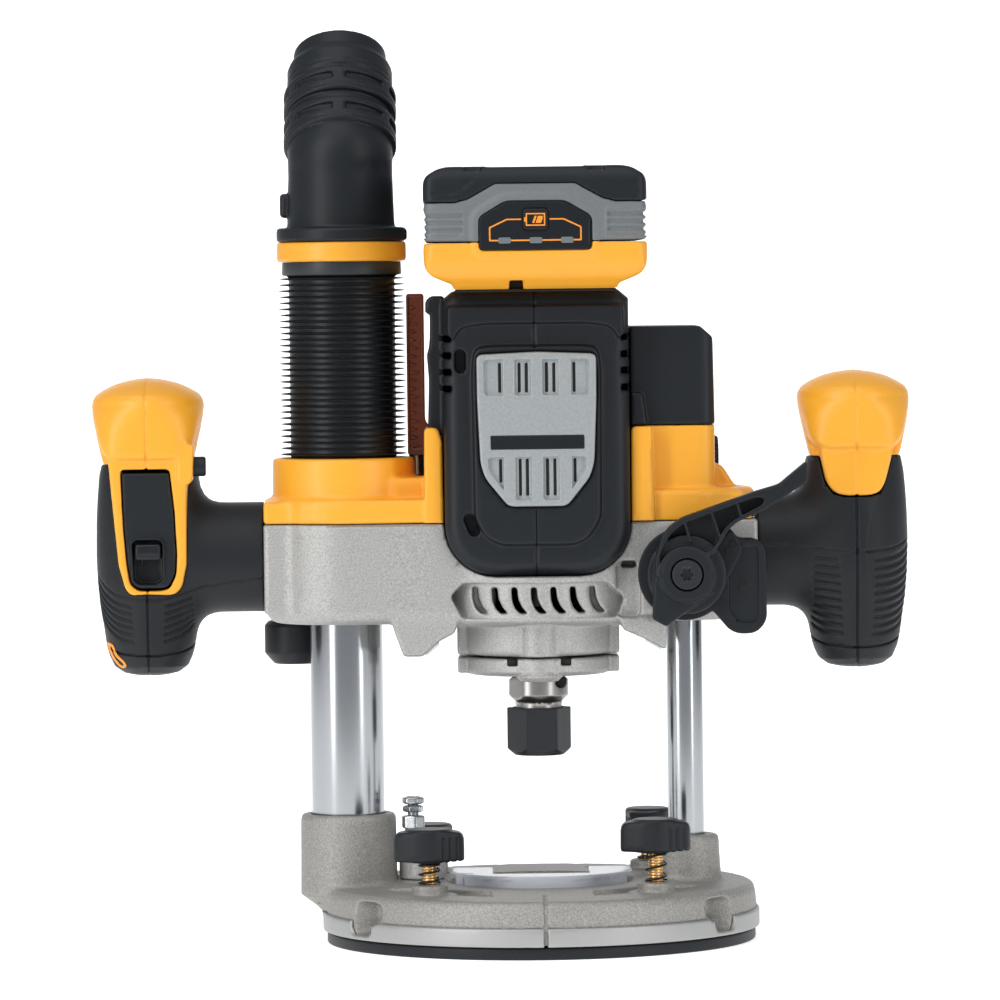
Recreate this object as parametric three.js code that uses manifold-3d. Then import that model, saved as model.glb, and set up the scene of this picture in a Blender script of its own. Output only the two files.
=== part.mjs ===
// Cordless plunge router: a motor carriage that slides down two columns towards a round base.
// Millimetres, +Z up. The spindle axis is x = spindleX, y = 0, and the sole of the base is z = 0.
// -Y is the side that faces away from the user, where the trigger, the plunge lock and the vents are.

import * as THREE from 'three';
import { mergeVertices } from 'three/addons/utils/BufferGeometryUtils.js';
import Module from 'manifold-3d';

const wasm = await Module();
wasm.setup();

// ---------------------------------------------------------------- driving dimensions
const gap = 0.3; // air between pieces that touch
const travel = 55; // plunge stroke
const spindleX = 13.75; // spindle axis from the middle of the overall width

// Base
const base = { radius: 86.4, plate: 4.7, band: 11.4, rim: 22.4, top: 23.4, throat: 33, recess: 36.5 };
const fence = { y: 50, z: 14.7, bore: 4.5, pocket: 6 }; // edge-guide rod channels, left to right
const clampKnob = { x: 44, seat: 26.6, radius: 11, wing: 14, height: 12.6 };

// Columns
const dustColumn = { x: -75.9, radius: 14.4, bore: 12.2, foot: 16.3, top: 275 };
const rod = { x: 57.8, radius: 7.1, bore: 5.3, foot: 20.3, top: 183 };

// Carriage
const floorZ = 126.6; // underside of the carriage casting
const deckZ = 166; // joint between the casting and its plastic covers
const leftEnd = -107.5;
const rightEnd = 86.4;
const arm = { z: 152.8, radius: 21.7 }; // handle arms

// Motor and spindle
const motor = { half: 36.3, depth: 38, bottom: 145.4, top: 257, corner: 20, bore: 31.5 };
const nut = { flats: 22, bottom: 73, top: 92 };
const battery = { half: 43.8, front: -60, back: 57, bottom: 257.3, split: 275.6, top: 305.5 };

// Handles
const grip = { left: -153, right: 125.5, radius: 21, bottom: 106.4, shoulder: 190, top: 224 };

// Depth stop
const turret = { x: -46.8, radius: 9.2, seat: 24.3, top: 33.3 };
const stopRod = { x: -47.2, y: 6, radius: 3, bottom: 115, top: 200 };

// Speed dial
const dial = { y: 14, z: 189.8 };

// Plunge lock
const lock = { x: 57.6, z: 145.6, hub: 15.5, front: -47, back: -37.3 };

// ---------------------------------------------------------------- materials
const paint = (color, roughness, metalness) =>
  new THREE.MeshStandardMaterial({ color, roughness, metalness });
const castAluminium = paint(0xa9a8a4, 0.55, 0.85);
const blackPlastic = paint(0x2b2f34, 0.6, 0);
const yellowPlastic = paint(0xf6ab24, 0.45, 0);
const greyPlastic = paint(0x6a6e70, 0.55, 0);
const paleGrey = paint(0xb4b9bb, 0.5, 0.1);
const steel = paint(0xc9ccd0, 0.2, 1);
const darkSteel = paint(0x33363a, 0.45, 0.7);
const springSteel = paint(0x3a3a3a, 0.4, 0.9);
const brass = paint(0xc79a4a, 0.3, 1);
const rubber = paint(0x1c1d1f, 0.85, 0);
const tinted = (color, opacity) =>
  new THREE.MeshStandardMaterial({ color, roughness: 0.2, transparent: true, opacity });
const amber = tinted(0x7a3510, 0.8);
const clear = tinted(0xe6eaec, 0.5);
const copper = paint(0xb06a3a, 0.4, 0.9);

// ---------------------------------------------------------------- solids

// A closed solid from a three.js geometry, with its faces turned outwards.
function solid(geometry) {
  const bare = geometry.clone();
  bare.deleteAttribute('normal');
  bare.deleteAttribute('uv');
  const merged = mergeVertices(bare, 1e-4);
  const points = merged.attributes.position;
  const triangles = [];
  for (let i = 0; i < merged.index.count; i += 3) {
    const [a, b, c] = [0, 1, 2].map((n) => merged.index.getX(i + n));
    if (a !== b && b !== c && c !== a) triangles.push(a, b, c);
  }
  if (signedVolume(points, triangles) < 0) {
    for (let i = 0; i < triangles.length; i += 3) {
      [triangles[i], triangles[i + 1]] = [triangles[i + 1], triangles[i]];
    }
  }
  return new wasm.Manifold(new wasm.Mesh({
    numProp: 3,
    vertProperties: new Float32Array(points.array),
    triVerts: new Uint32Array(triangles),
  }));
}

function signedVolume(points, triangles) {
  const corner = (i) => new THREE.Vector3().fromBufferAttribute(points, triangles[i]);
  let volume = 0;
  for (let i = 0; i < triangles.length; i += 3) {
    volume += corner(i).dot(corner(i + 1).cross(corner(i + 2)));
  }
  return volume;
}

// Matrices that lay a shape drawn in its own u, v plane across x, y or z.
const lay = {
  x: new THREE.Matrix4().makeBasis(axisOf(0, 1, 0), axisOf(0, 0, 1), axisOf(1, 0, 0)),
  y: new THREE.Matrix4().makeBasis(axisOf(1, 0, 0), axisOf(0, 0, 1), axisOf(0, -1, 0)),
  z: new THREE.Matrix4(),
};

function axisOf(x, y, z) {
  return new THREE.Vector3(x, y, z);
}

function outline(points) {
  return new THREE.Shape(points.map(([u, v]) => new THREE.Vector2(u, v)));
}

// A shape drawn in (y, z), (x, z) or (x, y), extruded along x, y or z from one place to another.
function prism(axis, shape, from, to, curveSegments = 8) {
  const drawn = Array.isArray(shape) ? outline(shape) : shape;
  const depth = to - from;
  const geometry = new THREE.ExtrudeGeometry(drawn, { depth, bevelEnabled: false, curveSegments });
  geometry.translate(0, 0, axis === 'y' ? -to : from);
  geometry.applyMatrix4(lay[axis]);
  return solid(geometry);
}

function block(x0, x1, y0, y1, z0, z1) {
  const geometry = new THREE.BoxGeometry(x1 - x0, y1 - y0, z1 - z0);
  return solid(geometry.translate((x0 + x1) / 2, (y0 + y1) / 2, (z0 + z1) / 2));
}

// A cylinder along an axis, from one place to another. The centre is given in the other two directions.
function drum(axis, radius, from, to, centre = [0, 0], sides = 24, farRadius = radius) {
  const geometry = new THREE.CylinderGeometry(farRadius, radius, to - from, sides);
  geometry.rotateX(Math.PI / 2).translate(0, 0, (from + to) / 2);
  if (axis === 'x') geometry.rotateY(Math.PI / 2).translate(0, centre[0], centre[1]);
  if (axis === 'y') geometry.rotateX(-Math.PI / 2).translate(centre[0], 0, centre[1]);
  if (axis === 'z') geometry.translate(centre[0], centre[1], 0);
  return solid(geometry);
}

// A turned solid about a vertical axis. Its profile of [radius, height] meets the axis or closes on itself.
function turned(profile, centre = [0, 0], sides = 32, depthScale = 1) {
  const points = profile.map(([r, h]) => new THREE.Vector2(r, h));
  if (profile[0][0] > 0) points.push(points[0].clone());
  const geometry = new THREE.LatheGeometry(points, sides).rotateX(Math.PI / 2);
  geometry.scale(1, depthScale, 1).translate(centre[0], centre[1], 0);
  return solid(geometry);
}

function tube(outer, inner, from, to, centre = [0, 0], sides = 24) {
  return turned([[inner, from], [outer, from], [outer, to], [inner, to]], centre, sides);
}

const join = (...parts) => parts.reduce((whole, part) => whole.add(part));
const cut = (whole, ...parts) => parts.reduce((rest, part) => rest.subtract(part), whole);

// A coil spring with closed ends, as wire along a helix.
function coil(radius, wire, from, to, turns, centre, stepsPerTurn = 8) {
  class Helix extends THREE.Curve {
    getPoint(t) {
      const angle = 2 * Math.PI * turns * t;
      const height = from + wire + (to - from - 2 * wire) * t;
      const [x, y] = centre;
      return axisOf(x + radius * Math.cos(angle), y + radius * Math.sin(angle), height);
    }
  }
  const wireShape = outline([[wire, 0], [0, wire], [-wire, 0], [0, -wire]]);
  const steps = Math.round(turns * stepsPerTurn);
  const sweep = { extrudePath: new Helix(), steps, bevelEnabled: false };
  return solid(new THREE.ExtrudeGeometry(wireShape, sweep));
}

// ---------------------------------------------------------------- the scene graph
const router = new THREE.Group();
router.position.x = spindleX;

function group(parent = router) {
  const made = new THREE.Group();
  parent.add(made);
  return made;
}

function add(parent, name, shape, material) {
  const { vertProperties, triVerts, numProp } = shape.getMesh();
  const geometry = new THREE.BufferGeometry();
  const positions = new Float32Array((vertProperties.length / numProp) * 3);
  for (let i = 0; i < positions.length / 3; i += 1) {
    for (let n = 0; n < 3; n += 1) positions[3 * i + n] = vertProperties[numProp * i + n];
  }
  geometry.setAttribute('position', new THREE.BufferAttribute(positions, 3));
  geometry.setIndex(new THREE.BufferAttribute(triVerts, 1));
  geometry.computeVertexNormals();
  const mesh = new THREE.Mesh(geometry, material);
  mesh.name = name;
  parent.add(mesh);
}

const clampKnobs = [
  { name: 'front_left', x: -clampKnob.x, y: -fence.y, bottom: 35.7, turn: 0, coils: 3 },
  { name: 'front_right', x: clampKnob.x, y: -fence.y, bottom: 38.6, turn: 0, coils: 3 },
  { name: 'rear_left', x: -clampKnob.x, y: fence.y, bottom: 29.4, turn: 105, coils: 0.9 },
  { name: 'rear_right', x: clampKnob.x, y: fence.y, bottom: 34.8, turn: 75, coils: 3 },
];

// ---------------------------------------------------------------- base
function baseCasting() {
  const plate = turned([
    [base.throat, base.plate + gap], [base.radius, base.plate + gap], [base.radius, base.band],
    [base.radius - 1.4, base.band + 0.5], [base.radius - 1.8, base.rim - 2], [base.radius - 3.6, base.rim],
    [base.recess + 5, base.top], [base.recess, base.top], [base.recess, 10], [base.throat, 10],
  ], [0, 0], 40);
  const dustBoss = turned([
    [0, 9], [6, 9], [19.2, 19.1], [18.8, 49.5], [17.6, 50.9], [0, 50.9],
  ], [dustColumn.x, 0], 24);
  const rodBoss = turned([[0, 15], [14.2, 15], [12.6, 39.6], [11.4, 41], [0, 41]], [rod.x, 0], 16);
  const turretSeat = drum('z', turret.radius + 0.6, 20, turret.seat, [turret.x, 0]);
  const seats = clampKnobs.map(({ x, y }) => drum('z', 7.2, 20, clampKnob.seat, [x, y], 12));
  const whole = join(plate, dustBoss, rodBoss, turretSeat, ...seats);

  const duct = block(dustColumn.x, -base.throat + 2, -9, 9, 8.4, dustColumn.foot - gap);
  const ductBend = drum('z', dustColumn.bore, 8.4, dustColumn.foot, [dustColumn.x, 0]);
  const columnBore = drum('z', dustColumn.radius + gap, dustColumn.foot - gap, 60, [dustColumn.x, 0]);
  const rodBore = drum('z', rod.radius + gap, rod.foot - gap, 60, [rod.x, 0], 16);
  const pivotHole = drum('z', 3.3, 17.5, 30, [turret.x, 0], 12);
  const screwHoles = clampKnobs.map(({ x, y }) => drum('z', 3.4, fence.z, 30, [x, y], 10));
  const channels = [-fence.y, fence.y].map((y) => drum('x', fence.bore, -90, 90, [y, fence.z], 12));
  const pockets = [-1, 1].flatMap((side) => [-1, 1].map((end) => {
    const x = side * (base.radius - 12);
    return block(x - 12, x + 12, end * fence.y - fence.pocket, end * fence.y + fence.pocket, 8, 21.7);
  }));
  return cut(whole, duct, ductBend, columnBore, rodBore, pivotHole, ...screwHoles, ...channels, ...pockets);
}

function dustShroud() {
  const outer = base.recess - 0.4;
  const wall = tube(outer, outer - 2, 10.3, 27.6, [0, 0], 32).intersect(block(-60, 60, -60, -12, 0, 60));
  const roof = drum('z', outer, 26, 27.6, [0, 0], 32).intersect(block(-60, 60, -60, 10, 0, 60));
  const opening = block(-19, 19, -19, 60, 0, 60);
  const notch = block(-33, -27, -19, -15, 20, 60);
  return cut(join(wall, roof), opening, notch);
}

const fixed = group();
add(fixed, 'base_casting', baseCasting(), castAluminium);
add(fixed, 'sub_base', tube(base.radius - 1.6, base.throat - 1, 0, base.plate, [0, 0], 40), blackPlastic);
add(fixed, 'dust_shroud', dustShroud(), clear);
add(fixed, 'dust_column', tube(dustColumn.radius, dustColumn.bore, dustColumn.foot, dustColumn.top,
  [dustColumn.x, 0]), steel);
add(fixed, 'guide_column', tube(rod.radius, rod.bore, rod.foot, rod.top, [rod.x, 0], 16), steel);

for (const { name, x, y, bottom, coils } of clampKnobs) {
  const spring = coil(4.1, 0.5, clampKnob.seat + gap, bottom - gap, coils, [x, y]);
  add(fixed, `clamp_spring_${name}`, spring, springSteel);
}

// A wing knob moulded on its brass screw, which presses on the edge-guide rod.
function wingKnob({ x, y, bottom, turn }) {
  const top = bottom + clampKnob.height;
  const hub = drum('z', clampKnob.radius - 2, bottom, top, [x, y], 20);
  const wing = prism('z', [
    [-clampKnob.wing, -5], [-5, -8.5], [clampKnob.wing - 2, -5],
    [clampKnob.wing, 4], [4, 8.5], [2 - clampKnob.wing, 4],
  ], bottom, top).rotate([0, 0, turn]).translate([x, y, 0]);
  const screw = drum('z', 2.9, fence.z + 4.2, bottom + 2, [x, y], 12);
  return join(hub, wing, screw);
}

for (const knob of clampKnobs) {
  add(group(), `clamp_knob_${knob.name}`, wingKnob(knob), blackPlastic);
}

// ---------------------------------------------------------------- depth stop turret
const stopBoltAt = [turret.x - 3.46, -4.95];

function stopTurret() {
  const disc = drum('z', turret.radius, turret.seat + gap, turret.top, [turret.x, 0], 20);
  const pivot = drum('z', 3, 18, turret.seat + 1, [turret.x, 0], 12);
  const steps = [{ degrees: 140, top: 45.5 }, { degrees: 20, top: 39.5 }].map(({ degrees, top }) => {
    const angle = THREE.MathUtils.degToRad(degrees);
    return drum('z', 2.6, turret.top - 1, top, [turret.x + 5.6 * Math.cos(angle), 5.6 * Math.sin(angle)], 8);
  });
  const boltHole = drum('z', 2.6, turret.top - 6, turret.top + 1, stopBoltAt, 12);
  return cut(join(disc, pivot, ...steps), boltHole);
}

// A hex-headed stop bolt standing in the turret, with its lock nut.
function stopBolt() {
  const [x, y] = stopBoltAt;
  const shank = drum('z', 2.2, turret.top - 5.5, 56, [x, y], 12);
  const lockNut = drum('z', 4.4, 44.7, 50.1, [x, y], 6);
  const collar = drum('z', 3.9, 51.2, 54, [x, y], 6);
  const head = drum('z', 4.2, 54.4, 57.4, [x, y], 6);
  return join(shank, lockNut, collar, head);
}

const turretGroup = group();
add(turretGroup, 'stop_turret', stopTurret(), castAluminium);
add(turretGroup, 'stop_bolt', stopBolt(), steel);

// ---------------------------------------------------------------- dust port
const collarZ = { cuff: 263, ring: 269, flange: 276.8, barrel: 282.4, bend: 310 };
const portTilt = THREE.MathUtils.degToRad(33);

function bellows() {
  const folds = 8;
  const low = 192;
  const high = collarZ.cuff;
  const profile = [];
  for (let i = 0; i <= folds; i += 1) {
    const z = low + ((high - low) * i) / folds;
    profile.push([25.3, z]);
    if (i < folds) profile.push([22, z + (high - low) / folds / 2]);
  }
  const inner = profile.map(([r, z]) => [r - 1.6, z]).reverse();
  const cuff = [[23.5, high], [23.5, collarZ.ring - gap], [20, collarZ.ring - gap]];
  return turned([...profile, ...cuff, ...inner], [dustColumn.x, 0], 18);
}

function bellowsCollar() {
  const bore = dustColumn.radius + gap;
  return turned([
    [bore, collarZ.ring], [25.5, collarZ.ring], [25.5, collarZ.flange - gap - 0.8],
    [24.7, collarZ.flange - gap], [bore, collarZ.flange - gap],
  ], [dustColumn.x, 0], 28);
}

// The swivelling hose adaptor: a barrel that leans back above its bend, with three grip rings.
function dustAdaptor() {
  const outer = (radius, from, to) => leaning(drum('z', radius, from, to, [0, 0], 20));
  const upright = join(
    drum('z', 25.5, collarZ.flange, collarZ.barrel, [0, 0], 24),
    drum('z', 20.8, collarZ.barrel - 1, collarZ.bend, [0, 0], 20),
  );
  const knuckle = solid(new THREE.SphereGeometry(20.8, 20, 8).translate(0, 0, collarZ.bend));
  const rings = [6, 19, 32].map((start) => outer(22.3, start, start + 9));
  const body = join(upright, knuckle, outer(20.2, 0, 42), outer(18.6, 42, 49), ...rings);
  const tab = block(-24.2, -19, -3.5, 3.5, 296, 305);
  const bores = join(
    drum('z', 17, collarZ.flange - 1, collarZ.bend, [0, 0], 16),
    solid(new THREE.SphereGeometry(17, 16, 6).translate(0, 0, collarZ.bend)),
    leaning(drum('z', 17, 0, 60, [0, 0], 16)),
  );
  return cut(join(body, tab), bores).translate([dustColumn.x, 0, 0]);
}

function leaning(piece) {
  const turn = -THREE.MathUtils.radToDeg(portTilt);
  return piece.rotate([turn, 0, 0]).translate([0, 0, collarZ.bend]);
}

add(fixed, 'bellows', bellows(), rubber);
add(fixed, 'bellows_collar', bellowsCollar(), yellowPlastic);
add(group(), 'dust_adaptor', dustAdaptor(), blackPlastic);

// ---------------------------------------------------------------- carriage casting and its covers

// The plan of the casting: rounded about each column, with flat pads for the handle arms.
function carriagePlan(inset = 0) {
  const left = 31.6 - inset;
  const right = 28.6 - inset;
  const plan = new THREE.Shape();
  plan.absarc(dustColumn.x, 0, left, 1.5 * Math.PI, 0.5 * Math.PI, true);
  plan.absarc(rod.x, 0, right, 0.5 * Math.PI, -0.5 * Math.PI, true);
  plan.closePath();
  return plan;
}

// The U of the motor housing seen from the front, grown by a clearance.
function motorOutline(grow = 0) {
  const half = motor.half + grow;
  const low = motor.bottom - grow;
  const round = motor.corner + grow;
  const shape = new THREE.Shape();
  shape.moveTo(-half, motor.top);
  shape.lineTo(-half, low + round);
  shape.absarc(-half + round, low + round, round, Math.PI, 1.5 * Math.PI, false);
  shape.absarc(half - round, low + round, round, 1.5 * Math.PI, 2 * Math.PI, false);
  shape.lineTo(half, motor.top);
  shape.closePath();
  return shape;
}

function carriageCasting() {
  const body = prism('z', carriagePlan(), floorZ, deckZ, 8);
  const motorRing = drum('z', 40, floorZ, deckZ, [0, 0], 32);
  const pads = [
    block(leftEnd, dustColumn.x, -23, 23, 131, deckZ),
    block(rod.x, rightEnd, -23, 23, floorZ + 3, deckZ),
  ];
  const nose = tube(32, 17.8, 113.3, floorZ + 1, [0, 0], 32);
  const noseRib = drum('z', 7.9, 113.3, floorZ + 1, [0, -24.5], 14);
  const ledWings = [
    prism('y', [[-56.6, 128], [-56.6, 124.5], [-53, 114], [-45.5, 114], [-38.8, 120], [-33, 123], [-33, 128]],
      -30, -14),
    prism('y', [[33, 128], [33, 124.5], [40.5, 120.5], [49.6, 115.4], [49.6, 128]], -30, -14),
  ];
  const lockBoss = drum('y', 13, -33, -20, [lock.x, lock.z], 20);
  const adjusterLug = drum('z', 9, floorZ + 0.4, 150, [-96.5, 24], 16);
  const whole = join(body, motorRing, ...pads, nose, noseRib, ...ledWings, lockBoss, adjusterLug);

  const motorSeat = prism('y', motorOutline(0.4), -60, 60);
  const airChamber = drum('z', 29, 130, motor.bottom + 2, [0, 0], 24);
  const bearingSeat = drum('z', 17.8, 112, floorZ + 0.3, [0, 0], 32);
  const shaftHole = drum('z', 12, floorZ, 131, [0, 0], 16);
  const dustBore = drum('z', 17.2, 120, 170, [dustColumn.x, 0], 24);
  const rodBore = drum('z', rod.radius + gap, 120, 170, [rod.x, 0], 16);
  const stopBore = drum('z', stopRod.radius + gap, 120, 170, [stopRod.x, stopRod.y], 12);
  const lockHole = drum('y', 4.3, -40, -9, [lock.x, lock.z], 12);
  const adjusterHole = drum('z', 3.3, 120, 140, [-96.5, 24], 12);
  const clampHole = drum('y', 3.3, stopRod.y + 6, 40, [stopRod.x, 146], 12);
  const buttonHole = drum('y', 5.4, 25, 45, [0, 137], 12);
  const ledSeats = [-1, 1].map((side) => ledLens(side, 0.3));
  return cut(whole, motorSeat, airChamber, bearingSeat, shaftHole, dustBore, rodBore, stopBore, lockHole,
    adjusterHole, clampHole, buttonHole, ...ventSlots(), ...ledSeats);
}

// Slanted cooling slots below the motor housing.
function ventSlots() {
  const count = 7;
  const pitch = 7.6;
  return Array.from({ length: count }, (_, i) => {
    const x = (i - (count - 1) / 2) * pitch;
    return prism('y', [[x - 3.2, 140.8], [x - 0.4, 140.8], [x + 1.4, 132.4], [x + 3.4, 130.4], [x - 1, 130.4],
      [x - 3.2, 134]], -45, -24);
  });
}

// A lamp lens let into the slanted face of its wing, facing the cutter.
function ledLens(side, grow = 0) {
  const { x, z, tilt } = side < 0 ? { x: -42, z: 117.1, tilt: -41.5 } : { x: 45, z: 118, tilt: 29.2 };
  const lens = block(-3.6 - grow, 3.6 + grow, -27 - grow, -17 + grow, -0.9, 1.6 + grow);
  return lens.rotate([0, tilt, 0]).translate([x, 0, z]);
}

function bearingCover() {
  const profile = [[12.4, 105.6], [26, 105.6], [31.4, 107.2], [32, 108], [32, 113], [12.4, 113]];
  const plate = turned(profile, [0, 0], 32);
  const rib = drum('z', 7.9, 103.6, 113, [0, -22.5], 14);
  const whole = join(plate, rib);
  const airNotches = [-1, 1].map((side) => block(side * 10.5 - 2, side * 10.5 + 2, -40, -22, 110.4, 114));
  return cut(whole, ...airNotches);
}

// The yellow cover over the dust column: a skirt that follows the casting, and a boss for the bellows.
function dustCover() {
  const skirt = prism('z', carriagePlan(0.2), deckZ + gap, 175.7, 8);
  const pad = block(leftEnd, dustColumn.x, -23, 23, deckZ + gap, 172.5);
  const boss = turned([[0, 170], [28.2, 170], [28.2, 190], [26.6, 191.7], [0, 191.7]], [dustColumn.x, 0], 24);
  const tab = block(-44.4, -37.1, -24, -8, 170, 203.6);
  const hollow = drum('z', 25.8, deckZ - 1, 189.2, [dustColumn.x, 0], 20);
  const bore = drum('z', dustColumn.radius + 0.6, 180, 195, [dustColumn.x, 0], 24);
  const stopBore = drum('z', stopRod.radius + gap, 160, 210, [stopRod.x, stopRod.y], 12);
  const motorSide = block(-motor.half - 0.5, 200, -60, 60, 160, 210);
  return cut(join(skirt, pad, boss, tab), hollow, bore, stopBore, motorSide);
}

// The yellow cover over the guide column, open below and above.
function rodCover() {
  const skirt = prism('z', carriagePlan(0.2), deckZ + gap, 175, 8);
  const pad = block(rod.x, 84.3, -22, 22, deckZ + gap, 172);
  const tower = block(37, 70.1, -24, 24, 170, 203.2);
  const hollow = block(39.4, 67.6, -21.5, 21.5, deckZ - 1, 210);
  const dialHole = drum('x', 8.7, 60, 75, [dial.y, dial.z], 20);
  const motorSide = block(-200, motor.half + 0.5, -60, 60, 160, 210);
  return cut(join(skirt, pad, tower), hollow, dialHole, motorSide);
}

// The black cap that closes the guide column and holds the top of the plunge spring.
function springHousing() {
  const outside = [[37.2, 203.5], [70.4, 203.5], [70.4, 238.6], [66.8, 242.2], [37.2, 242.2]];
  const shell = prism('y', outside, -24, 24);
  return cut(shell, block(39.6, 67.8, -21.5, 21.5, 200, 239.8));
}

const carriage = group();
add(carriage, 'carriage_casting', carriageCasting(), castAluminium);
add(carriage, 'bearing_cover', bearingCover().translate([0, 0, -gap]), castAluminium);
add(carriage, 'column_bush', tube(16.9, dustColumn.radius + 0.25, 128, 165, [dustColumn.x, 0]), brass);
add(carriage, 'dust_column_cover', dustCover(), yellowPlastic);
add(carriage, 'guide_column_cover', rodCover(), yellowPlastic);
add(carriage, 'spring_housing', springHousing(), blackPlastic);
add(carriage, 'plunge_spring', coil(3.9, 0.7, 26, 238, 14, [rod.x, 0], 6), springSteel);
add(carriage, 'led_lens_left', ledLens(-1), clear);
add(carriage, 'led_lens_right', ledLens(1), clear);
add(carriage, 'depth_scale', block(-49.6, -43.8, -2.5, -0.5, 192.2, 256), amber);

// ---------------------------------------------------------------- motor
function motorHousing() {
  const shell = prism('y', motorOutline(), -motor.depth, motor.depth);
  const raised = [[-24.6, 162], [-18, 156], [18, 156], [24.6, 162], [24.6, 246], [21, 250], [-21, 250],
    [-24.6, 246]];
  const panel = prism('y', raised, -41, -motor.depth + 2);
  const scaleBracket = join(
    block(-43, -motor.half + 2, -24, -8, 204.2, 254),
    block(-43.4, -motor.half + 2, -4, 2, 206, 254),
  );
  const whole = join(shell, panel, scaleBracket);

  const barrel = drum('z', motor.bore, 148.6, 212, [0, 0], 28);
  const inlet = drum('z', 27, 140, 150, [0, 0], 20);
  const bearingSeat = drum('z', 11.3, 211, 219.6, [0, 0], 24);
  const electronics = block(-31, 31, -31, 31, 222.5, 251);
  const vents = [0, 1, 2, 3].map((i) => block(-50, 50, -30, -14, 217.4 + 6.5 * i, 220 + 6.5 * i));
  return cut(whole, barrel, inlet, bearingSeat, electronics, ...vents);
}

const leftSide = block(-100, -gap / 2, -100, 100, 0, 400);
const rightSide = block(gap / 2, 100, -100, 100, 0, 400);
const housing = motorHousing();
add(carriage, 'motor_housing_left', housing.intersect(leftSide), blackPlastic);
add(carriage, 'motor_housing_right', housing.intersect(rightSide), blackPlastic);

// The shield-shaped plate on the front of the motor housing, with two rows of slots.
function badgePlate() {
  const outside = [[-23.4, 232.6], [23.4, 232.6], [21.8, 190], [11, 172.8], [-11, 172.8], [-21.8, 190]];
  const shield = prism('y', outside, -43, -41 - gap);
  const slots = [-16, -8.4, -5, 3, 6.6, 14.6].flatMap((x) => [
    block(x - 1.2, x + 1.2, -50, -40, 216.6, 229),
    block(x - 1.2, x + 1.2, -50, -40, 177.4, 190.6),
  ]);
  return cut(shield, ...slots);
}

add(carriage, 'badge_plate', badgePlate(), paleGrey);
add(carriage, 'stator', tube(31, 15.6, 164, 206, [0, 0], 28), copper);
add(carriage, 'bearing_lower', tube(17.4, 7.9, 115.4, floorZ, [0, 0], 20), steel);
add(carriage, 'bearing_upper', tube(10.9, 5.2, 212.4, 219.3, [0, 0], 16), steel);
add(carriage, 'controller_board', block(-28, 28, -28, 28, 228, 234), paint(0x1f4a38, 0.6, 0.1));

function terminalBlock() {
  const deck = block(-19.5, 19.5, -22, 34, motor.top + gap, motor.top + 3);
  const rail = block(-22, 22, -22, 34, motor.top + 3, motor.top + 5.6);
  const blades = [-12, -4, 4, 12].map((x) => block(x - 0.5, x + 0.5, -16, 10, motor.top + 5, motor.top + 10));
  return join(deck, rail, ...blades);
}

add(carriage, 'terminal_block', terminalBlock(), blackPlastic);

// ---------------------------------------------------------------- spindle
function spindle() {
  const shaft = turned([
    [0, 108], [6.9, 108], [6.9, 100], [8.7, 79], [10, 79], [10, 90.6], [9.2, 90.6], [9.2, 94.2], [11.8, 96.4],
    [11.8, 102.8], [10.4, 104], [7.6, 104], [7.6, 130], [6, 132], [6, 210], [4.9, 210], [4.9, 219], [0, 219],
  ], [0, 0], 20);
  const flats = [block(-16, -10.2, -20, 20, 94.6, 102.8), block(10.2, 16, -20, 20, 94.6, 102.8)];
  const lockHole = drum('y', 2.2, -20, -8, [0, 100.4], 10);
  return cut(shaft, ...flats, lockHole);
}

function collet() {
  const sleeve = turned([[6.4, 74.2], [7.6, 74.2], [8.3, 78], [6.6, 99.6], [6.4, 99.6]], [0, 0], 16);
  const slits = [0, 90].map((degrees) => block(-20, 20, -0.4, 0.4, 70, 92).rotate([0, 0, degrees]));
  return cut(sleeve, ...slits);
}

function colletNut() {
  const corner = nut.flats / 2 / Math.cos(Math.PI / 6);
  const hex = drum('z', corner, nut.bottom, nut.top, [0, 0], 6).rotate([0, 0, 30]);
  const cone = turned([[0, nut.bottom], [9.8, nut.bottom], [14.6, nut.bottom + 4.2], [14.6, nut.top - 0.8],
    [12.4, nut.top], [0, nut.top]], [0, 0], 18);
  const bore = drum('z', 10.5, nut.bottom + 4.6, nut.top + 1, [0, 0], 20);
  const mouth = drum('z', 9, nut.bottom - 1, nut.bottom + 6, [0, 0], 16);
  return cut(hex.intersect(cone), bore, mouth);
}

function fan() {
  const bladeCount = 7;
  const disc = tube(28, 6.4, 158, 160, [0, 0], 20);
  const hub = tube(9, 6.4, 151, 159, [0, 0], 12);
  const blades = Array.from({ length: bladeCount }, (_, i) =>
    block(8, 27, -0.7, 0.7, 151, 158.5).rotate([0, 0, (360 / bladeCount) * i]));
  return join(disc, hub, ...blades);
}

const turning = group();
add(turning, 'spindle', spindle(), steel);
add(turning, 'rotor', tube(14.9, 6.4, 166, 204, [0, 0], 24), darkSteel);
add(turning, 'fan', fan(), blackPlastic);
add(turning, 'collet', collet(), steel);
add(group(turning), 'collet_nut', colletNut(), darkSteel);

// ---------------------------------------------------------------- controls on the carriage
add(group(carriage), 'spindle_lock_button', drum('y', 5, 30.5, 43.5, [0, 137], 12), blackPlastic);
add(group(carriage), 'speed_dial', drum('x', 8.2, 63, 72.6, [dial.y, dial.z], 20), blackPlastic);
add(group(carriage), 'depth_rod', drum('z', stopRod.radius, stopRod.bottom, stopRod.top,
  [stopRod.x, stopRod.y], 12), steel);

function depthClampKnob() {
  const screw = drum('y', 2.9, stopRod.y + 6.4, 36, [stopRod.x, 146], 12);
  return join(screw, drum('y', 8.5, 33.5, 46, [stopRod.x, 146], 12));
}

function fineAdjustKnob() {
  const profile = [[0, 109], [9, 109], [12.3, 112.4], [12.3, floorZ - gap], [0, floorZ - gap]];
  const cup = turned(profile, [-96.5, 24], 20);
  return join(cup, drum('z', 2.9, 120, 138, [-96.5, 24], 12));
}

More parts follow.
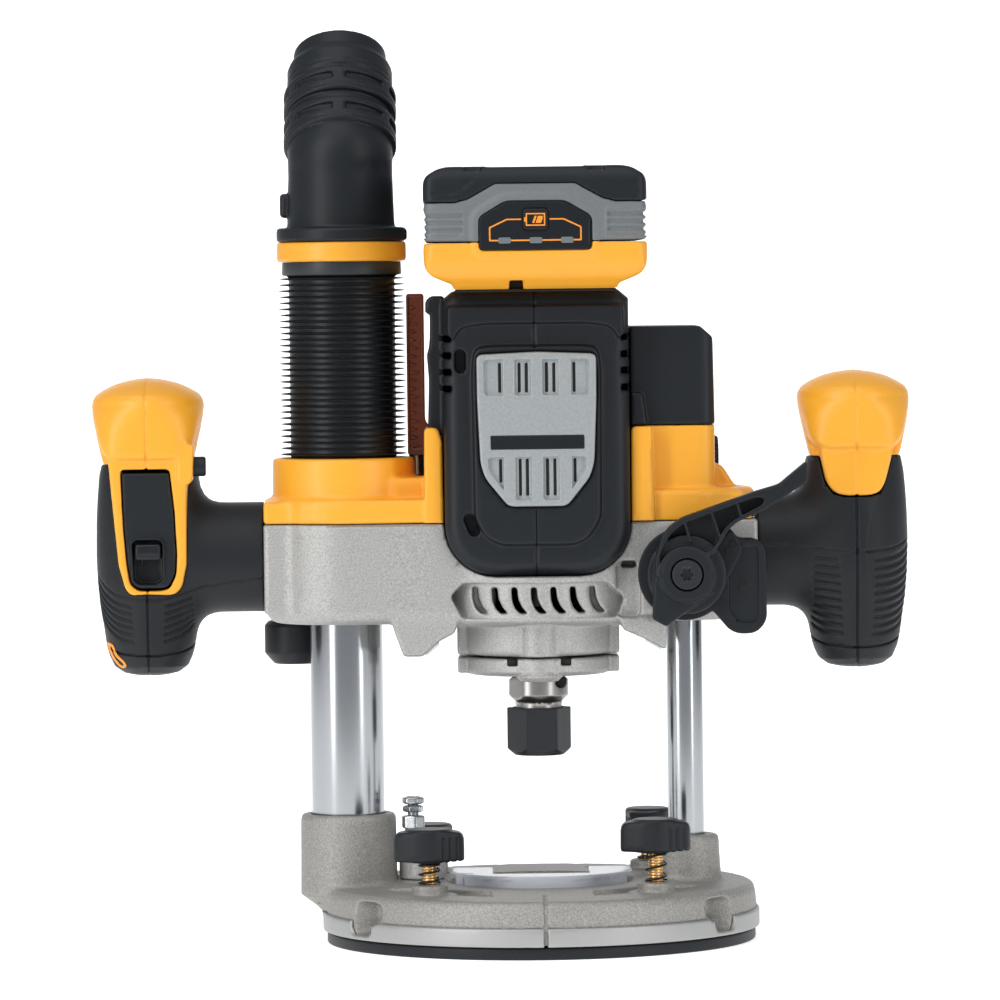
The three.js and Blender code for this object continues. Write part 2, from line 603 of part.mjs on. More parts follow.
add(group(carriage), 'depth_clamp_knob', depthClampKnob(), blackPlastic);
add(group(carriage), 'fine_adjust_knob', fineAdjustKnob(), blackPlastic);

// ---------------------------------------------------------------- plunge lock
function lockLever() {
  const hub = drum('y', lock.hub, lock.front, lock.back, [lock.x, lock.z], 24);
  const lever = prism('y', [[42.7, 159.7], [48.2, 164.2], [61.5, 168.8], [92.6, 179.3], [105, 189.6],
    [105, 181.1], [93.2, 174.7], [75.1, 165.5], [68.5, 151.7], [48.2, 151.7]], -46, -38.5);
  const pointer = prism('y', [[44.2, 147.7], [43.9, 139.7], [48.7, 127], [61.5, 135.7], [58.2, 147.7]], -44, -39);
  const whole = join(hub, lever, pointer);
  const ribs = [
    prism('y', [[50.2, 161.7], [60.2, 165.3], [68.2, 158.7], [64.2, 156.7], [54.2, 159.2]], -50, -40.5),
    prism('y', [[62.7, 166.3], [76.2, 170.7], [82.2, 171.3], [74.2, 167.1], [69.6, 160.1]], -50, -40.5),
  ];
  const screwSeat = drum('y', 6.4, lock.front - 1, lock.front + 3.2, [lock.x, lock.z], 20);
  const screw = join(
    drum('y', 6.1, lock.front + 0.4, lock.front + 4, [lock.x, lock.z], 20),
    drum('y', 3.9, lock.front + 3, -9.6, [lock.x, lock.z], 12),
  );
  return join(cut(whole, ...ribs, screwSeat), screw);
}

// The fixed plate behind the lever that shows its locked and free positions.
function lockPlate() {
  const disc = drum('y', 18, -36.8, -33.4, [lock.x - 1, lock.z], 24);
  const wing = prism('y', [[64.2, 159.7], [74.7, 164.7], [77.2, 160.3], [84.2, 160.3], [88.7, 155.7], [88.7, 129.7],
    [84.2, 124.1], [78.2, 123.5], [73.7, 124.1], [62.2, 132.7]], -36.8, -33.4);
  return cut(join(disc, wing), drum('y', 4.4, -40, -30, [lock.x, lock.z], 12));
}

add(group(carriage), 'lock_lever', lockLever(), blackPlastic);
add(carriage, 'lock_plate', lockPlate(), blackPlastic);

// ---------------------------------------------------------------- handles
const depthRatio = 1.14; // a handle is a little deeper than it is wide
const window = { left: -164.7, right: -143.6, bottom: 138.5, top: 187.6 }; // trigger opening

function gripBody(x) {
  return turned([
    [0, grip.bottom], [9, grip.bottom + 1], [14.4, grip.bottom + 4], [16.8, grip.bottom + 9],
    [18.2, grip.bottom + 16], [20, grip.bottom + 28], [grip.radius, grip.bottom + 44],
    [grip.radius, grip.bottom + 66], [20, 184], [19, grip.shoulder], [0, grip.shoulder],
  ], [x, 0], 20, depthRatio);
}

function handleCap(x) {
  return turned([
    [0, grip.shoulder + gap], [18.6, grip.shoulder + gap], [19.2, 195], [21, 204], [22.2, 210], [21.8, 215],
    [16, 219.4], [8, 222.8], [0, grip.top],
  ], [x, 0], 20, depthRatio);
}

function leftHandle() {
  const body = gripBody(grip.left);
  const reach = drum('x', arm.radius, grip.left, leftEnd - gap, [0, arm.z], 20);
  const framePocket = block(-167.5, -137.5, -40, -12, 137, grip.shoulder + 1);
  const triggerPocket = block(window.left - 0.4, window.right + 0.4, -20, -4, 137, 189);
  const buttonPocket = block(-141.3, -120, -25.3, -12, 182.7, 200);
  const wiring = drum('x', 8, -140, leftEnd + 1, [0, arm.z], 12);
  return cut(join(body, reach), framePocket, triggerPocket, buttonPocket, wiring);
}

// The yellow cap with the frame around the trigger and the lock-off button's boss.
function leftCap() {
  const frame = prism('y', [[-167.2, 190.3], [-170.5, 196], [-135.5, 196], [-137.8, 190.3], [-138, 150],
    [-142, 137.6], [-162.8, 137.6], [-167.2, 150]], -26, -12.3);
  const buttonBoss = block(-141, -135.8, -25, -13, 183.4, 195);
  const opening = block(window.left, window.right, -40, 0, window.bottom, window.top);
  const buttonHole = drum('x', 3.6, -142.8, -120, [-19, 188.6], 14);
  const framed = cut(join(frame, buttonBoss), opening);
  return cut(join(handleCap(grip.left), framed), buttonHole);
}

function trigger() {
  const pad = prism('x', [[-25, 186.8], [-24.2, 160], [-25.4, 140.4], [-13.5, 140.4], [-13.5, 186.8]],
    window.left + 0.4, window.right - 0.4);
  const slot = block(-159.6, -145.8, -40, -19, 141.8, 159.2);
  return cut(pad, slot);
}

function rightHandle() {
  const body = gripBody(grip.right);
  const reach = drum('x', arm.radius, rightEnd + gap, grip.right, [0, arm.z], 20);
  const apronPocket = block(113, 138, -40, -15, 174.6, grip.shoulder + 1);
  const hollow = drum('x', 8, rightEnd - 1, grip.right - 8, [0, arm.z], 12);
  return cut(join(body, reach), apronPocket, hollow);
}

function rightCap() {
  const outside = [[113.3, 192], [113.3, 184], [116.5, 176.6], [120, 175], [131, 175], [134.5, 176.6],
    [137.7, 184], [137.7, 192]];
  const apron = prism('y', outside, -24.6, -15.3);
  return join(handleCap(grip.right), apron);
}

add(carriage, 'handle_left', leftHandle(), blackPlastic);
add(carriage, 'handle_cap_left', leftCap(), yellowPlastic);
add(carriage, 'handle_right', rightHandle(), blackPlastic);
add(carriage, 'handle_cap_right', rightCap(), yellowPlastic);

const triggerGroup = group(carriage);
add(triggerGroup, 'trigger', trigger(), blackPlastic);
add(group(triggerGroup), 'trigger_slider', block(-159.2, -146.2, -26.6, -19.4, 150.8, 158.8), blackPlastic);
add(group(carriage), 'lock_off_button', drum('x', 3.3, -138.8, -129.8, [-19, 188.6], 14), blackPlastic);

// ---------------------------------------------------------------- battery
function batteryOutline(inset, from, to) {
  const half = battery.half - inset;
  return prism('z', [
    [-half, battery.front + inset + 6], [-half + 6, battery.front + inset], [half - 6, battery.front + inset],
    [half, battery.front + inset + 6], [half, battery.back - inset - 6], [half - 6, battery.back - inset],
    [-half + 6, battery.back - inset], [-half, battery.back - inset - 6],
  ], from, to);
}

function batteryLower() {
  const side = prism('y', [[-31.5, battery.bottom], [31.5, battery.bottom], [40, 262.5], [43.6, 264.5],
    [43.6, battery.split], [-43.6, battery.split], [-43.6, 264.5], [-40, 262.5]], -70, 70);
  const shell = batteryOutline(0.2, battery.bottom - 1, battery.split).intersect(side);
  const inside = batteryOutline(3, 269, 280);
  const slot = block(-20, 20, -22.6, 80, battery.bottom - 2, motor.top + 3.3);
  const railSlot = block(-22.5, 22.5, -22.6, 80, motor.top + 2.6, motor.top + 6);
  const bladeSlots = [-12, -4, 4, 12].map((x) => block(x - 1, x + 1, -16.6, 80, motor.top + 5, 280));
  const notch = block(-13.4, -7.8, -70, -50, battery.bottom - 2, 260.4);
  return cut(shell, inside, slot, railSlot, ...bladeSlots, notch);
}

function batteryUpper() {
  const shell = join(
    batteryOutline(0, battery.split + gap, 299.5),
    batteryOutline(1.6, 299, battery.top),
  );
  const inside = batteryOutline(3, 270, 302);
  const buttonSeat = drum('y', 5.4, -62, -50, [0, 284.2], 16);
  const latchSeat = block(-15.4, 15.4, 50, 60, 277.4, 290.4);
  return cut(shell, inside, buttonSeat, latchSeat);
}

const pack = group(carriage);
add(pack, 'battery_lower_case', batteryLower(), yellowPlastic);
add(pack, 'battery_upper_case', batteryUpper(), greyPlastic);
add(pack, 'battery_cells', block(-38, 38, -52, 48, 277, 300), paint(0x3b6b5a, 0.6, 0.2));
add(group(pack), 'gauge_button', drum('y', 5, -60.8, -55, [0, 284.2], 16), blackPlastic);
add(group(pack), 'battery_latch', block(-15, 15, 50.6, 58.4, 277.8, 290), blackPlastic);

export default router;
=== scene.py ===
"""A cordless plunge router in studio light, built around its frozen CAD frame.

Shapes are drawn in millimetres about the spindle axis, as distance fields meshed on a grid or as turned and
swept meshes, and are then placed in the row frame in metres.
"""
from math import copysign, cos, pi, radians, sin

import bpy
import numpy as np
import openvdb
from mathutils import Matrix, Vector


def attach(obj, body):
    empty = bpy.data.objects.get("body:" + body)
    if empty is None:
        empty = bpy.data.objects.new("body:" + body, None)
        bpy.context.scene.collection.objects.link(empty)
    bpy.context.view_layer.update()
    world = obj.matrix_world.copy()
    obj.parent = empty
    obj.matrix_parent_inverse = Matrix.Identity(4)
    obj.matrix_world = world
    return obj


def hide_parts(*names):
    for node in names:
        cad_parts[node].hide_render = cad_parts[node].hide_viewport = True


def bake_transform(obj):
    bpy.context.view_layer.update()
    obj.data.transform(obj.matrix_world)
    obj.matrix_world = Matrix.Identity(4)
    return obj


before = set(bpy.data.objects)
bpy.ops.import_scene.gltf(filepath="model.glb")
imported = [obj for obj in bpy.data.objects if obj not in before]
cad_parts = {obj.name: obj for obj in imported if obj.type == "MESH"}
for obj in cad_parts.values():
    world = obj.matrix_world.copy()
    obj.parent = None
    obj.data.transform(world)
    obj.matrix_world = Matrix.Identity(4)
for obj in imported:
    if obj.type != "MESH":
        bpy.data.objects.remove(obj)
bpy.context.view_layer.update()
SPINDLE_X = 13.75
DUST_X, ROD_X = -75.9, 57.8
GRIPS = (-153.0, 125.5)
DECK = 166.3  # underside of the covers on the casting
SPLIT = 275.6  # where the two halves of the battery case meet
# Axes of the small parts, as the two coordinates across them: upright, then along y, then along x.
TURRET, STOP_BOLT, DEPTH_ROD, FINE_KNOB = (-46.8, 0), (-50.26, -4.95), (-47.2, 6), (-96.5, 24)
LOCK, ROD_CLAMP, SPINDLE_LOCK = (57.6, 145.6), (-47.2, 146), (0, 137)
DIAL, LOCK_OFF = (14, 189.8), (-18.6, 189.3)


# ------------------------------------------------------------------ distance fields
class Space:
    """Sample points in a box, in millimetres, as three arrays that broadcast together."""

    def __init__(self, low, high, step):
        self.step = step * 1.0
        self.low = np.array(low, float) - 2.5 * self.step
        count = np.ceil((np.array(high, float) - self.low) / self.step + 2.5).astype(int) + 1
        x, y, z = [(self.low[i] + self.step * np.arange(count[i])).astype(np.float32) for i in range(3)]
        self.x, self.y, self.z = x[:, None, None], y[None, :, None], z[None, None, :]
        self.shape = tuple(count)


def soften(points, radius, steps=4):
    """The outline with its corners rounded. The radius is one number or one for each corner."""
    points = [Vector(p) for p in points]
    radii = radius if isinstance(radius, (list, tuple)) else [radius] * len(points)
    made = []
    for i, here in enumerate(points):
        if radii[i] == 0:
            made.append(tuple(here))
            continue
        back, on = points[i - 1] - here, points[(i + 1) % len(points)] - here
        reach = min(radii[i], 0.48 * back.length, 0.48 * on.length)
        a, b = here + back.normalized() * reach, here + on.normalized() * reach
        for n in range(steps + 1):
            t = n / steps
            made.append(tuple(a * (1 - t) ** 2 + here * 2 * t * (1 - t) + b * t * t))
    return made


def polygon(u, v, points):
    """Signed distance to a closed outline drawn in u and v."""
    shape = np.broadcast(u, v).shape
    nearest = np.full(shape, 1e9, np.float32)
    inside = np.zeros(shape, bool)
    for (a, b), (c, d) in zip(points, points[1:] + points[:1]):
        eu, ev = c - a, d - b
        if eu * eu + ev * ev < 1e-9:
            continue
        wu, wv = u - a, v - b
        t = np.clip((wu * eu + wv * ev) / (eu * eu + ev * ev), 0, 1)
        nearest = np.minimum(nearest, (wu - eu * t) ** 2 + (wv - ev * t) ** 2)
        if ev:
            inside ^= ((v >= b) != (v >= d)) & (wu < wv * (eu / ev))
    return np.where(inside, -1, 1).astype(np.float32) * np.sqrt(nearest)


def stroke(u, v, points, width):
    """Distance to a line of straight pieces of a given width."""
    best = 1e9
    for (a, b), (c, d) in zip(points, points[1:]):
        eu, ev = c - a, d - b
        t = np.clip(((u - a) * eu + (v - b) * ev) / (eu * eu + ev * ev), 0, 1)
        best = np.minimum(best, np.hypot(u - a - eu * t, v - b - ev * t))
    return best - width / 2


def disc(u, v, centre, radius):
    return np.hypot(u - centre[0], v - centre[1]) - radius


def slab(outline, w, a, b, r=0.0):
    """An outline's distance carried along w from a to b, with edges of radius r."""
    depth = np.abs(w - (a + b) / 2) - (b - a) / 2
    if not r:
        return np.maximum(outline, depth)
    p, q = outline + r, depth + r
    return np.minimum(np.maximum(p, q), 0) + np.hypot(np.maximum(p, 0), np.maximum(q, 0)) - r


def xy(s, points):
    return polygon(s.x, s.y, points)


def xz(s, points):
    return polygon(s.x, s.z, points)


def yz(s, points):
    return polygon(s.y, s.z, points)


def layer(s, points, a, b, r=0.0):
    """An outline drawn in x and y, from height a to height b."""
    return slab(xy(s, points), s.z, a, b, r)


def face(s, points, a, b, r=0.0):
    """An outline drawn in x and z, from depth a to depth b."""
    return slab(xz(s, points), s.y, a, b, r)


def brick(s, x0, x1, y0, y1, z0, z1, r=0.0):
    spans = ((s.x, x0, x1), (s.y, y0, y1), (s.z, z0, z1))
    q = [np.abs(w - (a + b) / 2) - (b - a) / 2 + r for w, a, b in spans]
    outer = np.sqrt(sum(np.maximum(n, 0) ** 2 for n in q))
    return outer + np.minimum(np.maximum(np.maximum(q[0], q[1]), q[2]), 0) - r


def rod(s, axis, centre, radius, a, b, r=0.0):
    u, v, w = {"x": (s.y, s.z, s.x), "y": (s.x, s.z, s.y), "z": (s.x, s.y, s.z)}[axis]
    return slab(disc(u, v, centre, radius), w, a, b, r)


def turned(s, profile, centre=(0, 0), ratio=1.0):
    """A profile of (radius, height) about an upright axis, looked up from a table."""
    reach = np.hypot(s.x - centre[0], (s.y - centre[1]) / ratio)[:, :, 0]
    step = s.step / 2
    radii = np.arange(0, float(reach.max()) + 2 * step, step, dtype=np.float32)
    mirror = [(r, z) for r, z in profile] + [(-r, z) for r, z in reversed(profile) if r > 0]
    if profile[0][0] > 0 and profile[-1][0] > 0:
        mirror = list(profile)
    table = polygon(radii[:, None], s.z[0], mirror)
    place = reach / step
    low = np.minimum(place.astype(int), len(radii) - 2)
    share = (place - low)[:, :, None]
    return table[low] * (1 - share) + table[low + 1] * share


def join(a, b, k=0.0):
    if not k:
        return np.minimum(a, b)
    h = np.clip(0.5 + 0.5 * (b - a) / k, 0, 1)
    return b * (1 - h) + a * h - k * h * (1 - h)


def cut(a, b, k=0.0):
    return -join(-a, b, k)


def both(a, b, k=0.0):
    return -join(-a, -b, k) if k else np.maximum(a, b)


def hexagon(u, v, centre, flats, turn=0.0):
    """Distance to a six-sided outline with a flat facing u at turn 0."""
    best = -1e9
    for n in range(3):
        angle = radians(60 * n + turn)
        best = np.maximum(best, np.abs((u - centre[0]) * cos(angle) + (v - centre[1]) * sin(angle)))
    return best - flats / 2


# ------------------------------------------------------------------ meshes
def read(field, place):
    """Field values at places given in grid steps."""
    low = np.clip(np.floor(place).astype(int), 0, np.array(field.shape) - 2)
    part = place - low
    total = 0
    for n in range(8):
        corner = (n & 1, n >> 1 & 1, n >> 2 & 1)
        weight = np.prod([part[:, i] if c else 1 - part[:, i] for i, c in enumerate(corner)], axis=0)
        total = total + weight * field[low[:, 0] + corner[0], low[:, 1] + corner[1], low[:, 2] + corner[2]]
    return total


def place_mesh(name, body, material, points, loops, starts, nodes=(), normals=None, sharp=None):
    """A mesh from points in millimetres, riding a CAD body in place of some of its nodes."""
    mesh = bpy.data.meshes.new(name)
    points = (np.asarray(points, float) + (SPINDLE_X, 0, 0)) / 1000
    mesh.vertices.add(len(points))
    mesh.vertices.foreach_set("co", points.astype(np.float32).ravel())
    mesh.loops.add(len(loops))
    mesh.loops.foreach_set("vertex_index", np.asarray(loops, np.int32))
    mesh.polygons.add(len(starts))
    mesh.polygons.foreach_set("loop_start", np.asarray(starts, np.int32))
    mesh.update(calc_edges=True)
    mesh.polygons.foreach_set("use_smooth", np.ones(len(starts), bool))
    if sharp:
        mesh.set_sharp_from_angle(angle=radians(sharp))
    if normals is not None:
        mesh.normals_split_custom_set_from_vertices(normals)
    mesh.materials.append(material)
    piece = bpy.data.objects.new(name, mesh)
    bpy.context.scene.collection.objects.link(piece)
    if body:
        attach(piece, body)
    if nodes:
        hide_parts(*nodes)
    return piece


def carve(name, body, material, low, high, step, shape, nodes=(), thin=0.04):
    """A piece meshed from a distance field over a box."""
    s = Space(low, high, step)
    field = np.clip(shape(s) / s.step, -3, 3).astype(np.float32)
    field = np.array(np.broadcast_to(field, s.shape), np.float32, order="C")
    grid = openvdb.FloatGrid(3.0)
    grid.copyFromArray(field)
    points, triangles, quads = grid.convertToPolygons(isovalue=0.0, adaptivity=thin)
    loops = np.concatenate([triangles.ravel(), quads.ravel()]).astype(np.int32)
    starts = np.concatenate([3 * np.arange(len(triangles)), 3 * len(triangles) + 4 * np.arange(len(quads))])
    slope = np.stack([read(field, points + e) - read(field, points - e) for e in 0.6 * np.eye(3)], axis=1)
    slope /= np.maximum(np.linalg.norm(slope, axis=1, keepdims=True), 1e-6)
    return place_mesh(name, body, material, points * s.step + s.low, loops, starts, nodes, slope)


def rings_mesh(name, body, material, rings, nodes=(), sharp=32, closed=False):
    """Rings of points joined by quads, with the end rings capped unless the rings close on themselves."""
    rings = np.asarray(rings, float)
    count, sides = rings.shape[:2]
    loops, starts = [], []
    for i in range(count if closed else count - 1):
        for j in range(sides):
            k, n = (i + 1) % count, (j + 1) % sides
            starts.append(len(loops))
            loops += [i * sides + j, i * sides + n, k * sides + n, k * sides + j]
    if not closed:
        for ring, order in ((0, range(sides - 1, -1, -1)), (count - 1, range(sides))):
            starts.append(len(loops))
            loops += [ring * sides + j for j in order]
    return place_mesh(name, body, material, rings.reshape(-1, 3), loops, starts, nodes, sharp=sharp)


def lathe(name, body, material, profile, centre=(0, 0), sides=64, nodes=(), bore=False, sharp=32):
    """A turned piece. A profile with a bore closes on itself."""
    sides = sides
    angles = 2 * pi * np.arange(sides) / sides
    rings = [np.stack([centre[0] + radius * np.cos(angles), centre[1] + radius * np.sin(angles),
        np.full(sides, float(height))], axis=1) for radius, height in profile]
    return rings_mesh(name, body, material, rings, nodes, sharp, closed=bore)


def coil(name, body, material, centre, radius, wire, low, high, turns, nodes=(), sides=8):
    """A spring of round wire, with closed end turns."""
    steps = int(turns * (32))
    rings = []
    for n in range(steps + 1):
        t = n / steps
        rise = np.clip((t * turns - 0.6) / (turns - 1.2), 0, 1)
        angle = 2 * pi * turns * t
        out = np.array([cos(angle), sin(angle), 0])
        core = np.array([*centre, low + wire + (high - low - 2 * wire) * rise]) + radius * out
        ring = [core + wire * (cos(a) * out + sin(a) * np.array([0, 0, 1]))
            for a in 2 * pi * np.arange(sides) / sides]
        rings.append(ring)
    return rings_mesh(name, body, material, rings, nodes, sharp=None)


# ------------------------------------------------------------------ finishes
def finish(name, colour, rough, metal=0.0, grain=0.0, grain_size=0.5, speckle=0.0, slot=None, glass=0.0,
        smear=0.0, shine=0.5):
    """A procedural finish: an even colour, speckle or smears in it, and fine relief."""
    material = bpy.data.materials.new(name)
    material.use_nodes = True
    nodes, links = material.node_tree.nodes, material.node_tree.links
    shader = nodes["Principled BSDF"]
    shader.inputs["Base Color"].default_value = (*colour, 1)
    shader.inputs["Roughness"].default_value = rough
    shader.inputs["Metallic"].default_value = metal
    shader.inputs["Transmission Weight"].default_value = glass
    shader.inputs["Specular IOR Level"].default_value = shine
    where = nodes.new("ShaderNodeTexCoord")
    if speckle or smear:
        noise = nodes.new("ShaderNodeTexNoise")
        noise.inputs["Scale"].default_value = 1000 / (grain_size * (1.6 if speckle else 30))
        noise.inputs["Detail"].default_value = 3
        ramp = nodes.new("ShaderNodeMapRange")
        ramp.inputs["From Min"].default_value = 0.32
        ramp.inputs["From Max"].default_value = 0.68
        ramp.inputs["To Min"].default_value = 1 - (speckle or smear)
        ramp.inputs["To Max"].default_value = 1 + (speckle or smear)
        tint = nodes.new("ShaderNodeMix")
        tint.data_type = "RGBA"
        tint.blend_type = "MULTIPLY"
        tint.inputs["Factor"].default_value = 1
        tint.inputs[6].default_value = (*colour, 1)
        links.new(where.outputs["Object"], noise.inputs["Vector"])
        links.new(noise.outputs["Fac"], ramp.inputs["Value"])
        links.new(ramp.outputs["Result"], tint.inputs[7])
        links.new(tint.outputs[2], shader.inputs["Base Color"])
    if grain:
        fine = nodes.new("ShaderNodeTexNoise")
        fine.inputs["Scale"].default_value = 1000 / grain_size
        fine.inputs["Detail"].default_value = 2
        bump = nodes.new("ShaderNodeBump")
        bump.inputs["Strength"].default_value = grain
        bump.inputs["Distance"].default_value = grain_size * 2e-4
        links.new(where.outputs["Object"], fine.inputs["Vector"])
        links.new(fine.outputs["Fac"], bump.inputs["Height"])
        links.new(bump.outputs["Normal"], shader.inputs["Normal"])
    material["slot"] = slot or name
    return material


CAST = finish("cast_aluminium", (0.41, 0.405, 0.39), 0.52, 0.45, 0.6, 0.4, 0.2)
CAST_BASE = finish("cast_aluminium_base", (0.315, 0.305, 0.285), 0.55, 0.4, 0.6, 0.42, 0.24, "cast_aluminium")
MACHINED = finish("machined_aluminium", (0.40, 0.40, 0.395), 0.48, 0.7, 0.1, 0.5, slot="cast_aluminium")
BLACK = finish("black_plastic", (0.009, 0.0115, 0.0145), 0.46, 0, 0.35, 0.5, shine=0.3)
SOFT_BLACK = finish("grip_rubber", (0.0085, 0.0105, 0.013), 0.5, 0, 0.3, 0.5, slot="black_plastic", shine=0.3)
GLOSS_BLACK = finish("panel_black", (0.010, 0.012, 0.015), 0.34, 0, 0.08, 0.4, slot="black_plastic",
    shine=0.3)
YELLOW = finish("yellow_plastic", (0.88, 0.395, 0.028), 0.4, 0, 0.2, 0.6)
ORANGE = finish("orange_print", (0.90, 0.30, 0.025), 0.45, 0, 0.1, 0.5, slot="yellow_plastic")
GREY = finish("grey_plastic", (0.155, 0.167, 0.172), 0.46, 0, 0.3, 0.6, 0.05)
PALE = finish("pale_grey", (0.345, 0.37, 0.375), 0.42, 0.25, 0.35, 0.6, 0.08)
LAMP = finish("lamp_grey", (0.15, 0.17, 0.18), 0.3, 0, 0.1, 0.5, slot="grey_plastic")
CHROME = finish("polished_steel", (0.40, 0.415, 0.43), 0.2, 1, 0.02, 0.5)
ZINC = finish("bright_steel", (0.46, 0.48, 0.49), 0.26, 1, 0.08, 0.5, smear=0.06)
TURNED_STEEL = finish("turned_steel", (0.36, 0.345, 0.325), 0.3, 1, 0.08, 0.4, smear=0.08,
    slot="polished_steel")
DARK_STEEL = finish("black_steel", (0.012, 0.0145, 0.018), 0.42, 0.1, 0.15, 0.4)
SPRING = finish("spring_steel", (0.02, 0.02, 0.022), 0.35, 0.6, 0.1, 0.4)
BRASS = finish("brass", (0.74, 0.45, 0.18), 0.34, 1, 0.1, 0.4)
RUBBER = finish("bellows_rubber", (0.019, 0.022, 0.026), 0.42, 0, 0.15, 0.5)
AMBER = finish("amber", (0.21, 0.036, 0.008), 0.2, 0, 0.05, 0.8, glass=0.25)
SHROUD = finish("clear_plastic", (0.62, 0.64, 0.69), 0.24, 0, 0.05, 0.8, glass=0.3)
LENS = finish("lens", (0.75, 0.8, 0.84), 0.1, 0.3, 0.05, 0.8, slot="clear_plastic")
COPPER = finish("copper", (0.69, 0.33, 0.16), 0.35, 1, 0.2, 0.8)
CIRCUIT = finish("circuit", (0.03, 0.12, 0.07), 0.5, 0, 0.1, 0.8)
CELLS = finish("cells", (0.08, 0.2, 0.15), 0.5, 0, 0.1, 0.8)
# Near-black matte filler: painted shade in holes, notches and gaps between parts; also the colour of the
# padlock marks.
SHADE_AND_MARK_BLACK = finish("painted_shade_and_mark_black", (0.006, 0.006, 0.007), 0.8, 0, 0.1, 0.8, slot="black_plastic")


def mirrored(points):
    return list(points) + [(-u, v) for u, v in reversed(points)]


def oblong(u0, u1, v0, v1):
    return [(u0, v0), (u1, v0), (u1, v1), (u0, v1)]


# ------------------------------------------------------------------ base
def base_shape(s):
    plate = turned(s, [(33, 5), (86.1, 5), (86.4, 5.3), (86.4, 12), (85.3, 12.5), (84.7, 19.6), (84, 21.2),
        (82.6, 22.3), (41.5, 23.4), (37, 23.4), (36.5, 22.9), (36.5, 10), (33, 10)])
    boss = turned(s, [(0, 9), (6, 9), (19.2, 19.1), (18.8, 49.2), (18.3, 50.4), (17.4, 50.9), (0, 50.9)],
        (DUST_X, 0))
    boss = join(boss, brick(s, DUST_X, -55, -16, 16, 14, 22, 2), 3)
    d = join(plate, boss, 2.5)
    d = join(d, turned(s, [(0, 15), (14.2, 15), (12.8, 39.4), (12.2, 40.6), (11.2, 41), (0, 41)],
        (ROD_X, 0)), 3)
    d = join(d, rod(s, "z", TURRET, 9.8, 18, 24.3, 0.6), 1.5)
    for x in (-44, 44):
        for y in (-50, 50):
            d = join(d, rod(s, "z", (x, y), 7.2, 18, 26.6, 0.8), 1.2)
            d = cut(d, rod(s, "z", (x, y), 3.4, 14, 30))
    for y in (-50, 50):
        d = cut(d, rod(s, "x", (y, 14.7), 4.5, -90, 90), 0.4)
        upper = sorted((copysign(43, y), copysign(58.2, y)))
        lower = sorted((copysign(42.6, y), copysign(54.4, y)))
        for side in (-1, 1):
            a, b = sorted((side * 61.5, side * 90))
            d = cut(d, brick(s, a, b, *upper, 11.4, 19.9, 3.4), 0.4)
            d = cut(d, brick(s, a, b, *lower, 6.8, 14.4, 3), 0.4)
    d = cut(d, brick(s, DUST_X, -31, -9, 9, 8.4, 16, 1))
    d = cut(d, rod(s, "z", (DUST_X, 0), 14.7, 16, 60), 0.5)
    d = cut(d, rod(s, "z", (ROD_X, 0), 7.4, 20, 60), 0.5)
    d = cut(d, both(both(abs(s.x - 0.5) - 0.6, abs(d) - 1.2), s.y + 60))
    arc = abs(np.hypot(s.x, s.y) - 58) - 7.5
    far = join(np.hypot(s.x + 44, abs(s.y) - 50), np.hypot(s.x - 44, abs(s.y) - 50))
    dish = slab(both(both(arc, 11 - far), 20 - abs(s.x)), s.z, 21.4, 30, 1)
    return cut(d, both(dish, 24 - abs(s.y)), 1)


def rim(s):
    """The turned rim round the foot of the casting."""
    return both(84.9 - np.hypot(s.x, s.y), s.z - 12.3)


carve("base_casting_body", "base", CAST_BASE, (-96, -87, 5), (87, 87, 51), 0.85,
    lambda s: both(base_shape(s), -rim(s)), ["base_casting"], 0.03)
carve("base_machined_band", "base", MACHINED, (-87, -87, 5), (87, 87, 12.8), 0.62,
    lambda s: both(base_shape(s), rim(s)), (), 0.05)
lathe("sub_base_ring", "base", BLACK, soften(oblong(32, 84.8, 0, 4.7), 0.9), sides=160, nodes=["sub_base"],
    bore=True)


def shroud_shape(s):
    wall = both(turned(s, soften(oblong(34.1, 36.1, 10.3, 27.6), 0.5)), s.y + 12)
    roof = both(slab(disc(s.x, s.y, (0, 0), 36.1), s.z, 26, 27.6, 0.6), s.y - 9.8)
    d = cut(join(wall, roof, 0.6), brick(s, -19, 19, -19, 60, 20, 60, 1), 0.4)
    return cut(d, brick(s, -33, -27, -19, -15, 20, 60, 0.6), 0.2)


carve("dust_shroud_shell", "base", SHROUD, (-36.6, -36.6, 10), (36.6, 10, 28), 0.45, shroud_shape,
    ["dust_shroud"])

lathe("dust_column_tube", "base", CHROME, soften(oblong(12.2, 14.4, 16.3, 275), 0.6), (DUST_X, 0), 96,
    ["dust_column"], bore=True)
lathe("guide_column_tube", "base", CHROME, soften(oblong(5.3, 7.1, 20.3, 183), 0.5), (ROD_X, 0), 72,
    ["guide_column"], bore=True)

KNOBS = {"front_left": (-44, -50, 35.7, 0, 3.2), "front_right": (44, -50, 38.6, 0, 3.4),
    "rear_left": (-44, 50, 29.4, 105, 1.4), "rear_right": (44, 50, 34.8, 75, 3.2)}


